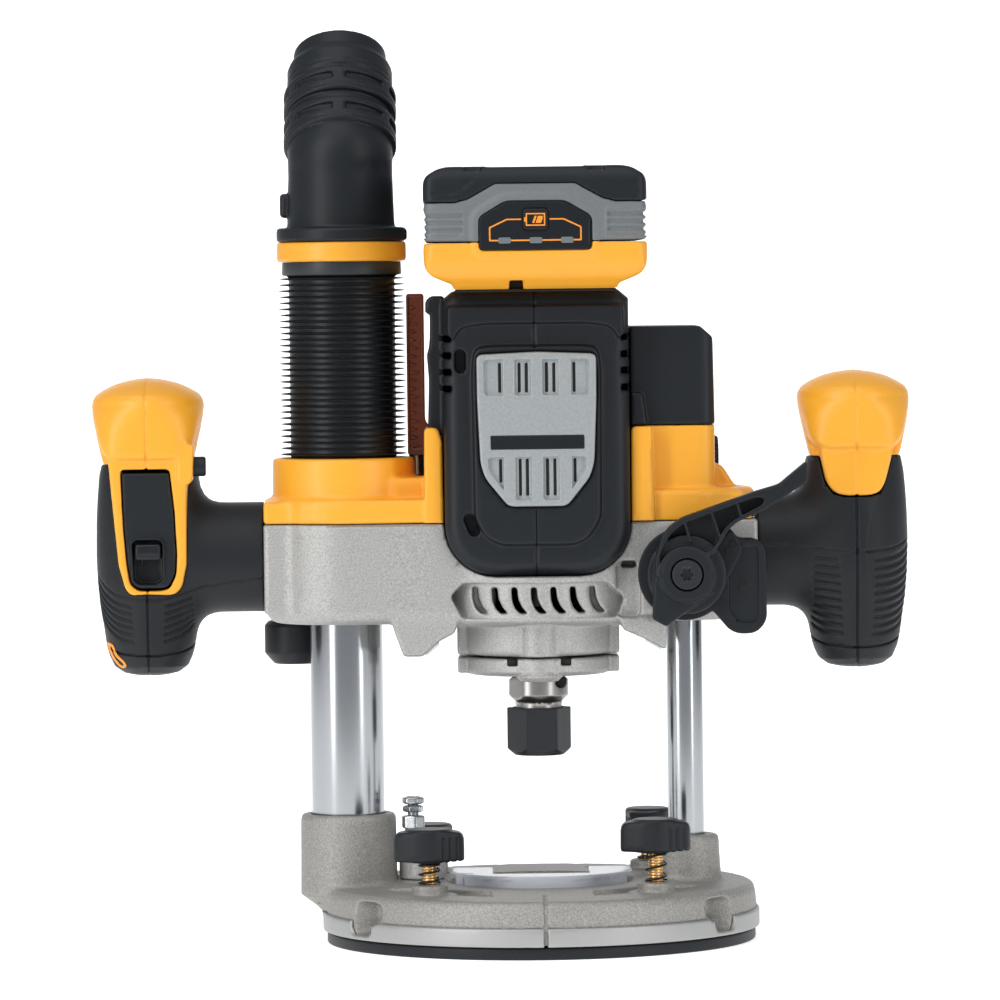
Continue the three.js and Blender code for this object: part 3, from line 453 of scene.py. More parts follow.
def knob_shape(x, y, bottom, turn):
    """A wing knob turned about its axis, with shallow grooves on the leading face of each wing."""
    c, n = cos(radians(turn)), sin(radians(turn))
    wing = soften([(-14, -3.6), (-11, -5.6), (-5, -8.2), (6, -7), (12, -4.6), (14, -1), (14, 3.4),
        (11, 5.6), (5, 8.2), (-6, 7), (-12, 4.6), (-14, 1)], 1.6)

    def shape(s):
        top = bottom + 12.6
        u, v = (s.x - x) * c + (s.y - y) * n, (s.y - y) * c - (s.x - x) * n
        d = slab(polygon(u, v, wing), s.z, bottom, top, 1.2)
        side = soften([(-14, bottom - 2), (-14, top - 0.9), (14, top - 0.9), (14, bottom - 2)],
            [0, 4.5, 4.5, 0])
        d = both(d, polygon(u, s.z, side), 1.2)
        d = join(d, rod(s, "z", (x, y), 9, bottom, top, 1.4), 1.5)
        d = join(d, rod(s, "z", (x, y), 4.8, bottom - 0.9, bottom + 2, 0.5), 0.5)
        band = both(abs(s.z - bottom - 4.4) - 4.8, abs(d) - 0.42)
        for way in (-1, 1):
            for out in (5.6, 8.3, 11.0):
                line = both(abs(way * u - out) - 0.38, way * v)
                d = cut(d, both(line, band), 0.15)
        return d
    return shape


def thread(radius, low, high, pitch, depth):
    """The profile of a threaded screw between two heights."""
    count = int((high - low) / pitch)
    made = [(radius - 0.8, low - 0.2), (radius - depth, low + 0.3)]
    for n in range(count):
        z = low + 0.3 + pitch * n
        made += [(radius, z + 0.35 * pitch), (radius, z + 0.55 * pitch), (radius - depth, z + 0.9 * pitch)]
    return made + [(radius - depth, high), (radius - 0.8, high + 0.2)]


for name, (x, y, bottom, turn, turns) in KNOBS.items():
    carve(f"wing_knob_{name}", f"clamp_knob_{name}", BLACK, (x - 14.2, y - 14.2, bottom - 1),
        (x + 14.2, y + 14.2, bottom + 12.8), 0.4, knob_shape(x, y, bottom, turn), [f"clamp_knob_{name}"])
    lathe(f"clamp_screw_{name}", f"clamp_knob_{name}", BRASS, thread(2.9, 19.2, bottom - 0.4, 1.2, 0.2),
        (x, y), 24)
    coil(f"clamp_coil_{name}", "base", SPRING, (x, y), 4.0, 0.42, 26.9, bottom - 0.9, turns,
        [f"clamp_spring_{name}"])


# ------------------------------------------------------------------ depth stop turret
def turret_shape(s):
    d = rod(s, "z", TURRET, 9.2, 24.6, 33.3, 0.7)
    d = join(d, rod(s, "z", TURRET, 3, 18, 26))
    for degrees, top in ((140, 45.5), (20, 39.5)):
        a = radians(degrees)
        d = join(d, rod(s, "z", (TURRET[0] + 5.6 * cos(a), 5.6 * sin(a)), 2.6, 30, top, 0.5), 0.6)
    return cut(d, rod(s, "z", STOP_BOLT, 2.6, 28, 40))


def stop_bolt_shape(s):
    d = rod(s, "z", STOP_BOLT, 2.15, 28, 55) + 0.14 * np.cos(2 * pi * s.z / 0.9)
    for flats, turn, low, high, r in ((8.4, 12, 44.7, 50.1, 4.4), (7.4, 40, 51.2, 54, 3.9),
            (8, 20, 54.4, 57.4, 4.1)):
        crown = turned(s, [(0, low), (r - 0.8, low), (r + 0.3, low + 0.6), (r + 0.3, high - 0.6),
            (r - 0.8, high), (0, high)], STOP_BOLT)
        d = join(d, both(slab(hexagon(s.x, s.y, STOP_BOLT, flats, turn), s.z, low, high), crown, 0.2))
    return cut(d, rod(s, "z", STOP_BOLT, 2.6, 56.6, 60), 0.2)


carve("stop_turret_disc", "turret", CAST, (-57, -10, 18), (-36, 10, 46), 0.4, turret_shape, ["stop_turret"])
carve("stop_bolt_stack", "turret", ZINC, (-56, -10.5, 28), (-45, 0.5, 59), 0.22, stop_bolt_shape,
    ["stop_bolt"])


# ------------------------------------------------------------------ bellows, collar and hose adaptor
def bellows_profile():
    folds, low, high = 30, 191.95, 263.5
    pitch = (high - low) / folds
    made = [(20.5, low - 0.2)]
    for n in range(folds):
        z = low + pitch * n
        tip = 25.2 - 0.25 * (n % 3)
        made += [(20.8, z), (21, z + 0.3 * pitch), (tip - 0.9, z + 0.4 * pitch), (tip, z + 0.5 * pitch),
            (tip - 0.9, z + 0.6 * pitch), (21, z + 0.7 * pitch)]
    made += [(21.8, high), (23.3, high + 0.2), (23.6, high + 0.7), (23.4, 268.9), (20, 268.95)]
    return made


folds = lathe("bellows_folds", None, RUBBER, bellows_profile() + [(20, 230)], (DUST_X, 0), 64, bore=True,
    sharp=50)
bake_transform(folds)
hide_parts("bellows")
lathe("bellows_collar_ring", "base", YELLOW,
    soften(oblong(14.7, 25.5, 269, 276.76), [0.3, 1.5, 1.5, 0.3], 5), (DUST_X, 0), 96,
    ["bellows_collar"], bore=True)


def adaptor_shape(s):
    x = s.x - DUST_X
    tilt = radians(33)
    up = (s.z - 310) * cos(tilt) + s.y * sin(tilt)
    over = s.y * cos(tilt) - (s.z - 310) * sin(tilt)
    ring = np.hypot(x, over)
    straight = np.hypot(x, s.y)
    d = slab(straight - 25.5, s.z, 276.8, 282.4, 1.2)
    d = join(d, slab(straight - 20.8 - 0.03 * (296 - s.z), s.z, 281, 310), 1.2)
    d = join(d, np.sqrt(x ** 2 + s.y ** 2 + (s.z - 310) ** 2) - 20.8)
    d = join(d, slab(ring - 20.2, up, 0, 42, 0.8), 1)
    d = join(d, slab(ring - 18.4, up, 38, 49, 1.0), 1.4)
    angle = np.arctan2(x, -over)
    for start, long, reach in ((3.8, 11, 22.3), (18.4, 11, 22.3), (31, 9.5, 20.9)):
        band = slab(ring - reach, up, start, start + long, 1.1)
        gap = both(slab(ring - 24, up, start + 5.2, start + 8), 20.9 - ring)
        for at in (-1.5, -0.52, 0.52, 1.5):
            band = cut(band, both(gap, (abs(angle - at) - 0.4) * 20), 0.3)
        lip = both(abs(up - start - 2.2) - 0.3, abs(band) - 0.35)
        d = join(d, cut(band, lip, 0.2), 0.5)
    d = join(d, brick(s, DUST_X - 24, DUST_X - 19, -3.3, 3.3, 286.4, 296, 1.6), 0.6)
    d = join(d, brick(s, DUST_X + 21, DUST_X + 26, -3.3, 3.3, 277.4, 281.4, 0.6), 0.3)
    hollow = join(slab(straight - 17, s.z, 270, 311), np.sqrt(x ** 2 + s.y ** 2 + (s.z - 310) ** 2) - 17)
    return cut(d, join(hollow, slab(ring - 17, up, 0, 70)), 0.5)


carve("dust_adaptor_elbow", "dust_adaptor", BLACK, (DUST_X - 26, -26, 276.6), (DUST_X + 26, 46, 361.4),
    0.62, adaptor_shape, ["dust_adaptor"], 0.05)


# ------------------------------------------------------------------ carriage casting
def hull(left, right):
    """The plan of the carriage about its two columns."""
    ends = ((DUST_X, left, pi / 2), (ROD_X, right, -pi / 2))
    return [(x + r * cos(a), r * sin(a)) for x, r, start in ends
        for a in np.linspace(start, start + pi, 17)]


def u_outline(grow=0.0, top=257.0):
    """The front outline of the motor housing: an upright U, open at the top."""
    half, low, r = 36.3 + grow, 145.4 - grow, 20 + grow
    arcs = [(side * (half - r) + r * cos(a), low + r + r * sin(a))
        for side, start in ((-1, pi), (1, 1.5 * pi)) for a in np.linspace(start, start + 0.5 * pi, 9)]
    return [(-half, top)] + arcs + [(half, top)]


LENSES = ((-42, 117.1, -41.5), (45, 118, 29.2))


def lens_field(s, x, z, tilt, grow=0.0, r=0.5):
    c, n = cos(radians(tilt)), sin(radians(tilt))
    u, w = (s.x - x) * c - (s.z - z) * n, (s.x - x) * n + (s.z - z) * c
    q = [abs(u) - 3.6 - grow + r, abs(s.y + 22) - 5 - grow + r, abs(w - 0.35) - 1.25 - grow + r]
    return np.sqrt(sum(both(n, 0) ** 2 for n in q)) + join(both(both(q[0], q[1]), q[2]), 0) - r


def slot_outline(x):
    return soften([(x - 2.5, 141), (x - 0.3, 141), (x + 0.1, 136.6), (x + 1.6, 133.2), (x + 3.8, 130.8),
        (x + 1.0, 130.6), (x - 1.2, 132.8), (x - 2.3, 136)], 0.8, 3)


def casting_shape(s):
    d = layer(s, hull(31.6, 28.6), 126.6, 180, 5.5)
    d = join(d, slab(disc(s.x, s.y, (0, 0), 40), s.z, 126.6, 180, 3), 5)
    d = join(d, brick(s, -107.5, DUST_X, -23, 23, 131, 180, 1.2), 1.5)
    d = join(d, brick(s, ROD_X, 86.4, -23, 23, 129.6, 180, 1.2), 1.5)
    d = join(d, rod(s, "z", (0, 0), 29.6, 113.3, 128, 2.6), 1.2)
    d = join(d, brick(s, -32, 32, -9, 9, 113.3, 128, 1.2), 1.2)
    d = join(d, rod(s, "z", (0, -24.5), 7.9, 113.3, 129, 0.6), 0.8)
    left = soften([(-57.2, 129), (-57, 125), (-53.2, 114.4), (-52, 114), (-45.5, 114), (-38.8, 120),
        (-33, 123), (-31, 129)], 1.2)
    right = soften([(31, 129), (33, 123.6), (40.5, 120.3), (49.6, 115.4), (50.6, 129)], 1.2)
    d = join(d, face(s, left, -30, -14, 1.4), 1.2)
    d = join(d, face(s, right, -30, -14, 1.4), 1.2)
    d = join(d, rod(s, "y", LOCK, 13, -33, -18, 0.8), 1.5)
    d = join(d, rod(s, "z", FINE_KNOB, 9, 127, 150, 0.8), 2)
    d = both(d, s.z - 166)
    frame_line = soften([(-34.5, 137.4), (-29.6, 142.6), (26.6, 142.6), (33.4, 136), (30.8, 128.8),
        (-30, 128.8)], 1.6)
    ring = np.hypot(s.x, s.y)
    d = cut(d, both(both(xz(s, frame_line), 38.9 - ring), s.y + 8), 0.7)
    for n in range(7):
        d = cut(d, face(s, slot_outline((n - 3) * 7.6 - 0.6), -46, -24), 1.0)
    pocket = soften([(30.6, 128.4), (40, 128.4), (40, 150.6), (32.4, 150.6), (30.6, 148.6)],
        [3, 3, 0.8, 0.6, 0.6])
    d = cut(d, face(s, pocket, -50, -24.8), 0.8)
    d = cut(d, brick(s, 32.6, 38.4, -30, -16, 147.8, 150.2, 0.8), 0.3)
    d = cut(d, face(s, u_outline(0.35, 200), -60, 60), 0.3)
    for centre, r in (((DUST_X, 0), 17.2), ((ROD_X, 0), 7.4), (DEPTH_ROD, 3.3)):
        d = cut(d, rod(s, "z", centre, r, 110, 170), 0.4)
    d = cut(d, rod(s, "z", (0, 0), 17.8, 110, 126.9))
    d = cut(d, rod(s, "z", (0, 0), 12, 120, 132))
    d = cut(d, rod(s, "z", (0, 0), 29, 130, 150))
    d = cut(d, rod(s, "y", LOCK, 4.3, -40, -9))
    for x, z, tilt in LENSES:
        d = cut(d, lens_field(s, x, z, tilt, 0.25))
    return cut(d, rod(s, "y", SPINDLE_LOCK, 5.4, 25, 50))


carve("carriage_casting_body", "carriage", CAST, (-107.6, -40.2, 113.2), (86.6, 40.2, 166), 0.7,
    casting_shape, ["carriage_casting"], 0.03)
for side, lens in zip(("left", "right"), LENSES):
    carve(f"lamp_lens_{side}", "carriage", LENS, (lens[0] - 5, -28, lens[1] - 5),
        (lens[0] + 5, -16, lens[1] + 5), 0.3, lambda s, lens=lens: lens_field(s, *lens),
        [f"led_lens_{side}"])


def bearing_cover_shape(s):
    d = turned(s, soften([(12.4, 105.4), (27, 105.4), (29.3, 107), (29.3, 112.4), (12.4, 112.4)], 0.7))
    ears = layer(s, soften(oblong(-31.8, 31.8, -9, 9), 1), 106.2, 112.4, 0.6)
    ears = both(ears, 14 - np.hypot(s.x, s.y))
    d = join(d, ears, 0.6)
    d = join(d, turned(s, [(0, 103.5), (7.4, 103.5), (9.2, 105.4), (7.9, 107.4), (7.9, 112.5), (0, 112.5)],
        (0, -22.5)), 0.6)
    for side in (-1, 1):
        d = cut(d, brick(s, side * 10.5 - 2, side * 10.5 + 2, -40, -20, 109.7, 116, 0.4))
    return d


# Dark bricks in the bottoms of the cover's two notches: painted shade.
carve("bearing_cover_notch_shade", "carriage", SHADE_AND_MARK_BLACK, (-13, -26.6, 109), (13, -23.6, 113), 0.4,
    lambda s: join(brick(s, -12.4, -8.6, -26.2, -24, 109.9, 112.3),
    brick(s, 8.6, 12.4, -26.2, -24, 109.9, 112.3)))
carve("bearing_cover_plate", "carriage", CAST, (-32, -31, 103.3), (32, 30, 112.7), 0.5, bearing_cover_shape,
    ["bearing_cover"], 0.03)


# ------------------------------------------------------------------ covers on the casting
def dust_cover_shape(s):
    d = layer(s, hull(31.3, 28.3), DECK, 175.7, 1.6)
    d = join(d, turned(s, soften(oblong(0, 28.2, 160, 191.7), [0, 0, 1.8, 0]), (DUST_X, 0)), 3)
    ledge = soften([(-60, 170), (-60, 184), (-37, 184), (-37, 170)], 2)
    d = join(d, face(s, ledge, -21, 12, 2), 2)
    d = join(d, brick(s, -107.4, DUST_X, -22.8, 22.8, DECK, 175, 1.4), 1.5)
    tab = soften([(-44.4, 160), (-44, 203.6), (-38.6, 203.6), (-37, 198), (-36.8, 160)], [0, 2, 2, 1, 0])
    d = join(d, face(s, tab, -31, -8, 1), 0.8)
    d = both(d, DECK - s.z)
    d = cut(d, rod(s, "z", (DUST_X, 0), 25.8, 160, 189.4))
    d = cut(d, rod(s, "z", (DUST_X, 0), 15, 160, 200))
    d = cut(d, rod(s, "z", DEPTH_ROD, 3.3, 160, 210))
    return both(d, s.x + 36.8)


def rod_cover_shape(s):
    d = layer(s, hull(31.3, 28.3), 160, 178.4, 2.6)
    end = soften([(60, 160), (84.2, 160), (84.2, 172), (80, 177), (60, 178)], 1.5)
    d = join(d, face(s, end, -22, 22, 1.5), 2)
    back = soften([(60, 160), (82, 160), (80, 176), (73, 187.4), (60, 187.4)], 2)
    d = join(d, face(s, back, -10, 21, 2), 2)
    tower = layer(s, soften(oblong(30, 70.1, -24, 24), [0, 7, 7, 0], 8), 160, 203.2, 0.5)
    d = join(d, tower, 2)
    strip = soften([(36.7, 160), (36.9, 203.2), (45, 203.2), (46, 160)], [0, 2, 0.4, 0])
    d = join(d, face(s, strip, -31.5, -10, 1), 0.8)
    d = both(d, DECK - s.z)
    d = cut(d, brick(s, 39.4, 67.6, -21.5, 21.5, 150, 215, 3))
    d = cut(d, rod(s, "x", DIAL, 8.7, 60, 80))
    return both(d, 36.8 - s.x)


def spring_housing_shape(s):
    side = soften([(36.9, 203.5), (36.9, 242.2), (64.4, 242.2), (69.6, 237.6), (70.4, 203.5)],
        [0, 0.6, 0.9, 0.9, 0.6])
    plan = xy(s, soften(oblong(30, 70.4, -24, 24), [0, 7, 7, 0], 8))
    d = both(face(s, side, -30, 30), both(plan, 36.9 - s.x), 0.9)
    foot = soften([(36.9, 203.5), (36.9, 216.6), (41.6, 216.2), (43.4, 203.5)], [0, 0, 1.4, 0])
    d = join(d, face(s, foot, -29, -15, 1), 0.8)
    return cut(d, brick(s, 39.6, 67.8, -21.5, 21.5, 190, 239.8, 3))


plunge = coil("plunge_spring_wire", None, SPRING, (ROD_X, 0), 3.9, 0.7, 26, 238, 14)
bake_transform(plunge)
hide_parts("plunge_spring")
carve("dust_cover_shell", "carriage", YELLOW, (-107.6, -32.6, 166.2), (-36.6, 32.6, 203.8), 0.62,
    dust_cover_shape, ["dust_column_cover"])
carve("rod_cover_shell", "carriage", YELLOW, (36.6, -32.6, 166.2), (84.4, 32.6, 203.4), 0.62,
    rod_cover_shape, ["guide_column_cover"])
carve("spring_housing_shell", "carriage", BLACK, (36.6, -29.2, 203.3), (70.6, 24.2, 242.4), 0.62,
    spring_housing_shape, ["spring_housing"])


def scale_shape(s):
    plate = soften([(-50.6, 192.2), (-50.6, 256), (-43.6, 256), (-43.6, 206), (-41.4, 203), (-41.4, 192.2)],
        1.2)
    d = face(s, plate, -2.5, -0.5, 0.4)
    inner = soften([(-49.6, 195), (-49.6, 254.6), (-45, 254.6), (-45, 206), (-43.4, 203), (-43.4, 195)], 0.8)
    d = cut(d, face(s, inner, -4, -1.9), 0.2)
    for n in range(18):
        z = 196 + 3.2 * n
        tooth = [(-49.4, z - 1.2), (-46.6 if n % 3 else -45.6, z), (-49.4, z + 1.2)]
        d = join(d, face(s, tooth, -2.4, -0.6, 0.1), 0.1)
    return d


carve("depth_scale_strip", "carriage", AMBER, (-50.8, -2.7, 192), (-41.2, -0.3, 256.2), 0.3, scale_shape,
    ["depth_scale"])


# ------------------------------------------------------------------ motor housing and its badge
SHIELD = [(-23.3, 232.0), (0, 233.0), (23.3, 232.0), (23.2, 214), (22.2, 190), (20.4, 184), (11.4, 172.8),
    (-11.4, 172.8), (-20.4, 184), (-22.2, 190), (-23.2, 214)]


def housing_shape(s):
    d = face(s, [(-32, 257)] + u_outline(0, 253.4) + [(32, 257)], -38, 38, 6)
    arch = soften(mirrored([(-33.2, 150), (-33.2, 236), (-29.4, 242.6), (-20, 244)]), 3)
    brow = both(-xz(s, arch), xz(s, soften(oblong(-34.4, 34.4, 238, 251), 2)))
    d = join(d, slab(brow, s.y, -39.6, -30, 1), 1)
    panel = soften(mirrored([(-18, 235.4), (-24, 234.5), (-25, 226), (-24.6, 168), (-20, 160.4),
        (-14, 157.6)]), 3)
    d = join(d, face(s, panel, -41, -30, 1.4), 1.2)
    shield = xz(s, soften(SHIELD, 2.4))
    d = cut(d, slab(shield - 0.5, s.y, -50, -40.2), 0.5)
    for x, z, lean in ((-29.6, 229.5, 0.0), (-25.8, 165.6, 0.38)):
        u, v = s.x - x, s.z - z
        u, v = u * cos(lean) + v * sin(lean), v * cos(lean) - u * sin(lean)
        hole = np.hypot(u, both(abs(v) - 2.4, 0)) - 2.1
        d = cut(d, slab(hole, s.y, -50, -32), 0.6)
    for n in range(4):
        z = 238.2 - 6.5 * n
        for side in (-1, 1):
            a, b = sorted((side * 33.0, side * 40.0))
            d = cut(d, brick(s, a, b, -39, -12, z - 1.3, z + 1.3, 0.6), 0.3)
    bracket = soften([(-36, 200), (-42.6, 200), (-41.8, 222), (-42.6, 232), (-41.4, 236), (-41.2, 247.6),
        (-43, 248.6), (-43, 253), (-41, 255), (-36, 255)], [0, 1, 1, 1, 0.6, 0.6, 0.4, 1.2, 1, 0])
    d = join(d, face(s, bracket, -24, -8, 1), 0.8)
    seam = both(abs(s.x + 0.4) - 0.32, s.y + 20)
    d = cut(d, both(seam, both(abs(d) - 0.9, 1.2 - shield)), 0.2)
    d = cut(d, brick(s, -31, 31, -31, 31, 222.5, 251))
    d = cut(d, rod(s, "z", (0, 0), 31.5, 148.6, 212))
    return cut(d, rod(s, "z", (0, 0), 27, 140, 150))


carve("motor_housing_shell", "carriage", BLACK, (-43.2, -41.2, 145.2), (36.5, 38.2, 257.2), 0.68,
    housing_shape, ["motor_housing_left", "motor_housing_right"])
# A dark strip along the housing's outline, in the gap between the housing and the casting: painted shade.
carve("housing_gap_shade", "carriage", SHADE_AND_MARK_BLACK, (-38, -26.4, 144), (38, -21.6, 203.2), 0.6,
    lambda s: slab(abs(xz(s, u_outline(0.2, 215))) - 0.9, s.y, -26, -22) + both(0, s.z - 203))
RIBS = (-10.6, 0.2, 11.0)


def badge_shape(s):
    d = face(s, soften(SHIELD, 2.4), -43, -40.3, 0.9)
    top = xz(s, soften(mirrored([(-20.4, 216.2), (-20.6, 230)]), 1.6))
    low = xz(s, soften(mirrored([(-19.2, 192), (-18.8, 187), (-10.4, 175.4)]), 1.6))
    ribs = 99.0
    for x in RIBS:
        ribs = join(ribs, abs(s.x - x) - 2.3)
    for region in (top, low):
        d = cut(d, slab(both(region, -ribs + 0.3), s.y, -50, -41.35), 0.5)
    for x in (-14.3, -6.7, -3.9, 3.9, 6.8, 14.6):
        foot = 182.12 if abs(x) > 14 else 177
        d = cut(d, brick(s, x - 0.55, x + 0.55, -50, -39, 217.2, 228.8))
        d = cut(d, brick(s, x - 0.55, x + 0.55, -50, -39, foot, 191.4))
    return d


carve("badge_shield", "carriage", PALE, (-23.6, -43.1, 172.6), (23.6, -40.2, 233.2), 0.34, badge_shape,
    ["badge_plate"], 0.03)
# Dark plates behind the badge's slots: painted shade.
carve("badge_slot_shade", "carriage", SHADE_AND_MARK_BLACK, (-18, -41.2, 175), (18, -40.2, 230), 0.5,
    lambda s: join(brick(s, -17.4, 17.4, -41, -40.4, 216.6, 229.4, 0.2),
    brick(s, -15.8, 15.8, -41, -40.4, 176.6, 191.8, 0.2)))
carve("badge_strip", "carriage", GLOSS_BLACK, (-19, -43.4, 194), (19, -42.6, 202), 0.25,
    lambda s: face(s, soften([(-18.2, 195), (-18.2, 200.6), (18.4, 200.6), (18.4, 195)], 0.4), -43.25, -42.7,
    0.1))


# ------------------------------------------------------------------ spindle and collet
PIN_HOLE = (8.7, 102.1)


def spindle_shape(s):
    d = turned(s, [(0, 108), (7.6, 108), (7.6, 104.2), (10.4, 104), (11.7, 102.8), (11.8, 96.8),
        (9.4, 94.3), (9.2, 94), (9.2, 90.8), (10, 90.4), (10, 79.2), (0, 79.2)])
    turn = radians(-8)
    across = s.x * cos(turn) + s.y * sin(turn)
    along = s.y * cos(turn) - s.x * sin(turn)
    for facing in (-1, 1):
        d = cut(d, both(-facing * (across * 0.80 + along * 0.6) + 10.3, 94.4 - s.z), 0.15)
    d = cut(d, both(disc(s.x, s.z, PIN_HOLE, 2.2), s.y), 0.2)
    return cut(d, rod(s, "z", (0, 0), 6.5, 78, 98))


def nut_shape(s):
    hexed = slab(hexagon(s.x, s.y, (0, 0), 22, 34), s.z, 73, 92)
    cone = turned(s, [(0, 73), (9.6, 73), (14.8, 77.6), (14.8, 91), (12.6, 92), (0, 92)])
    d = both(hexed, cone, 0.25)
    d = cut(d, rod(s, "z", (0, 0), 10.3, 77.6, 93), 0.3)
    return cut(d, turned(s, [(0, 70), (9.4, 70), (8.6, 74), (8.6, 79), (0, 79)]), 0.3)


# A dark plug inside the spindle's pin hole: painted shade.
carve("spindle_pin_hole_shade", "spindle", SHADE_AND_MARK_BLACK, (6, -8, 99), (11, 0, 105), 0.3,
    lambda s: rod(s, "y", PIN_HOLE, 2.1, -7.0, -1))
carve("spindle_nose", "spindle", TURNED_STEEL, (-12, -12, 79), (12, 12, 108.2), 0.33, spindle_shape,
    ["spindle"])
lathe("spindle_shaft", "spindle", TURNED_STEEL, [(0.01, 104), (7.6, 104), (7.6, 130), (6, 132), (6, 210),
    (4.9, 211), (4.9, 219), (0.01, 219)], sides=40)
carve("collet_nut_body", "collet_nut", DARK_STEEL, (-13, -13, 72.9), (13, 13, 92.1), 0.3, nut_shape,
    ["collet_nut"])


def collet_shape(s):
    d = turned(s, [(6.4, 74.4), (7.4, 74.2), (8.3, 78), (6.8, 99), (6.4, 99.4)])
    for n in range(4):
        a = pi * n / 4
        d = cut(d, both(abs(s.x * sin(a) - s.y * cos(a)) - 0.35, s.z - 92))
    return d


carve("collet_sleeve", "spindle", TURNED_STEEL, (-9, -9, 74), (9, 9, 100), 0.32, collet_shape, ["collet"])


# ------------------------------------------------------------------ controls
lathe("fine_adjust_cup", "fine_adjust_knob", BLACK, soften([(0.01, 109), (8.4, 109), (12.3, 113.4),
    (12.3, 124.4), (10.6, 126.3), (0.01, 126.3)], [0, 0.8, 0.8, 0.8, 0.8, 0], 4), FINE_KNOB, 96,
    ["fine_adjust_knob"])


def knurled(u, v, centre, radius, depth, teeth):
    """Distance to a disc with a wavy rim."""
    return disc(u, v, centre, radius) + depth * np.cos(teeth * np.arctan2(v - centre[1], u - centre[0]))


def clamp_wheel_shape(s):
    wheel = slab(knurled(s.x, s.z, ROD_CLAMP, 8.3, 0.25, 20), s.y, 33.5, 46, 1.2)
    return join(rod(s, "y", ROD_CLAMP, 2.9, 12.4, 36), wheel)


def lock_cap_shape(s):
    """A round button, hollowed for a fingertip."""
    dish = np.sqrt(s.x ** 2 + (s.y - 52) ** 2 + (s.z - 137) ** 2) - 9.4
    return cut(rod(s, "y", SPINDLE_LOCK, 5, 30.5, 43.5, 1), dish, 0.3)


carve("depth_clamp_wheel", "depth_clamp_knob", BLACK, (-56, 12, 137), (-38, 46.2, 155), 0.5,
    clamp_wheel_shape, ["depth_clamp_knob"])
carve("spindle_lock_cap", "spindle_lock_button", BLACK, (-5.2, 30.4, 131.8), (5.2, 43.7, 142.2), 0.4,
    lock_cap_shape, ["spindle_lock_button"])
carve("speed_wheel", "speed_dial", BLACK, (62.8, 5.4, 181.2), (72.8, 22.6, 198.4), 0.4,
    lambda s: slab(knurled(s.y, s.z, DIAL, 8.1, 0.3, 22), s.x, 63, 72.6, 0.9), ["speed_dial"])
lathe("depth_rod_bar", "depth_rod", ZINC, soften(oblong(0.01, 3, 115, 200), [0, 0.6, 0.6, 0]), DEPTH_ROD,
    32, ["depth_rod"])


# ------------------------------------------------------------------ plunge lock
def hub_to(points):
    """Points given from the lock's axis, in x and z."""
    return [(LOCK[0] + u, LOCK[1] + v) for u, v in points]


ARM = hub_to([(-12.6, -1), (-12.2, 7), (-9.8, 14.4), (-6.8, 18.8), (-1.8, 22.3), (8, 25.7), (26.2, 32),
    (36, 34.8), (47.2, 44), (47.3, 35.6), (36, 28.4), (30, 24.6), (20, 20.4), (16.4, 17.4), (11, 8.6),
    (7, 6)])


def lever_shape(s):
    arm = xz(s, soften(ARM, 1.6, 3))
    d = slab(arm, s.y, -46.6, -38.5, 0.7)
    inner = soften(hub_to([(-11, 3), (-10.2, 8), (-7.8, 13.6), (-5, 17), (-0.6, 20.2), (8.6, 23.5),
        (27, 29.8), (30.6, 29.4), (29.6, 27), (19, 21.6), (15, 18.4), (10.4, 10.4), (6, 8)]), 1.4, 3)
    d = cut(d, face(s, inner, -50, -40.2), 0.4)
    for u0, v0, u1, v1 in ((-1.2, 21.5, 1.6, 13), (9.6, 24.6, 13.2, 13.6), (19.6, 28, 21.6, 21.4)):
        rib = stroke(s.x, s.z, hub_to([(u0, v0), (u1, v1)]), 1.1)
        d = join(d, slab(both(rib, arm + 0.4), s.y, -46, -39.5), 0.3)
    r = np.hypot(s.x - LOCK[0], s.z - LOCK[1])
    d = join(d, slab(r - 15.5, s.y, -44.2, -37.3, 0.9), 0.3)
    pointer = soften(hub_to([(-12.6, 0), (-13.6, -17.2), (-8.2, -20.2), (10.6, -7), (4, 2)]), 0.9)
    d = join(d, face(s, pointer, -45, -39, 0.7), 0.3)
    d = join(d, slab(r - 11.4, s.y, -47, -38, 0.8), 0.3)
    d = cut(d, slab(abs(r - 10.1) - 0.25, s.y, -50, -46.7), 0.2)
    d = cut(d, slab(r - 6.5, s.y, -50, -43.6), 0.3)
    return join(d, rod(s, "y", LOCK, 3.9, -44, -9.8))


def screw_shape(s):
    u, v = s.x - LOCK[0], s.z - LOCK[1]
    r, a = np.hypot(u, v), np.arctan2(v, u)
    d = slab(r - 5.9, s.y, -46.8, -43, 0.5)
    return cut(d, slab(r - 2.15 - 0.45 * np.cos(6 * a), s.y, -50, -44.6), 0.15)


def lock_plate_shape(s):
    d = slab(disc(s.x, s.z, (LOCK[0] - 0.6, LOCK[1]), 18.2), s.y, -36.8, -33.4, 0.5)
    wing = soften(hub_to([(9, 15), (16.8, 18.4), (19.4, 14.6), (21.4, 13.8), (27.4, 13.8), (31.2, 9.6),
        (31.4, -18.8), (27.2, -23.6), (20.4, -23.8), (16.6, -22.2), (9.6, -13.8), (2, -12)]),
        [1, 1.5, 1.5, 1, 4, 4, 5, 5, 4, 3, 3, 0], 5)
    d = join(d, face(s, wing, -36.8, -33.4, 0.6), 0.3)
    sunk = soften(hub_to([(16.8, 6), (21.6, 10.2), (27.6, 10.2), (28.2, 9), (28.2, -17), (26.6, -19.4),
        (20.6, -19.2), (16.8, -14.6)]), 1.6)
    d = cut(d, face(s, sunk, -40, -35.7), 0.4)
    flap = soften(hub_to([(9, 8.6), (17.4, 17.6), (19.4, 15), (21.8, 10.4), (21.6, 8), (14.6, -5)]), 1.6)
    d = join(d, face(s, flap, -38.0, -34.5, 0.5), 0.2)
    return cut(d, rod(s, "y", LOCK, 4.4, -40, -30))


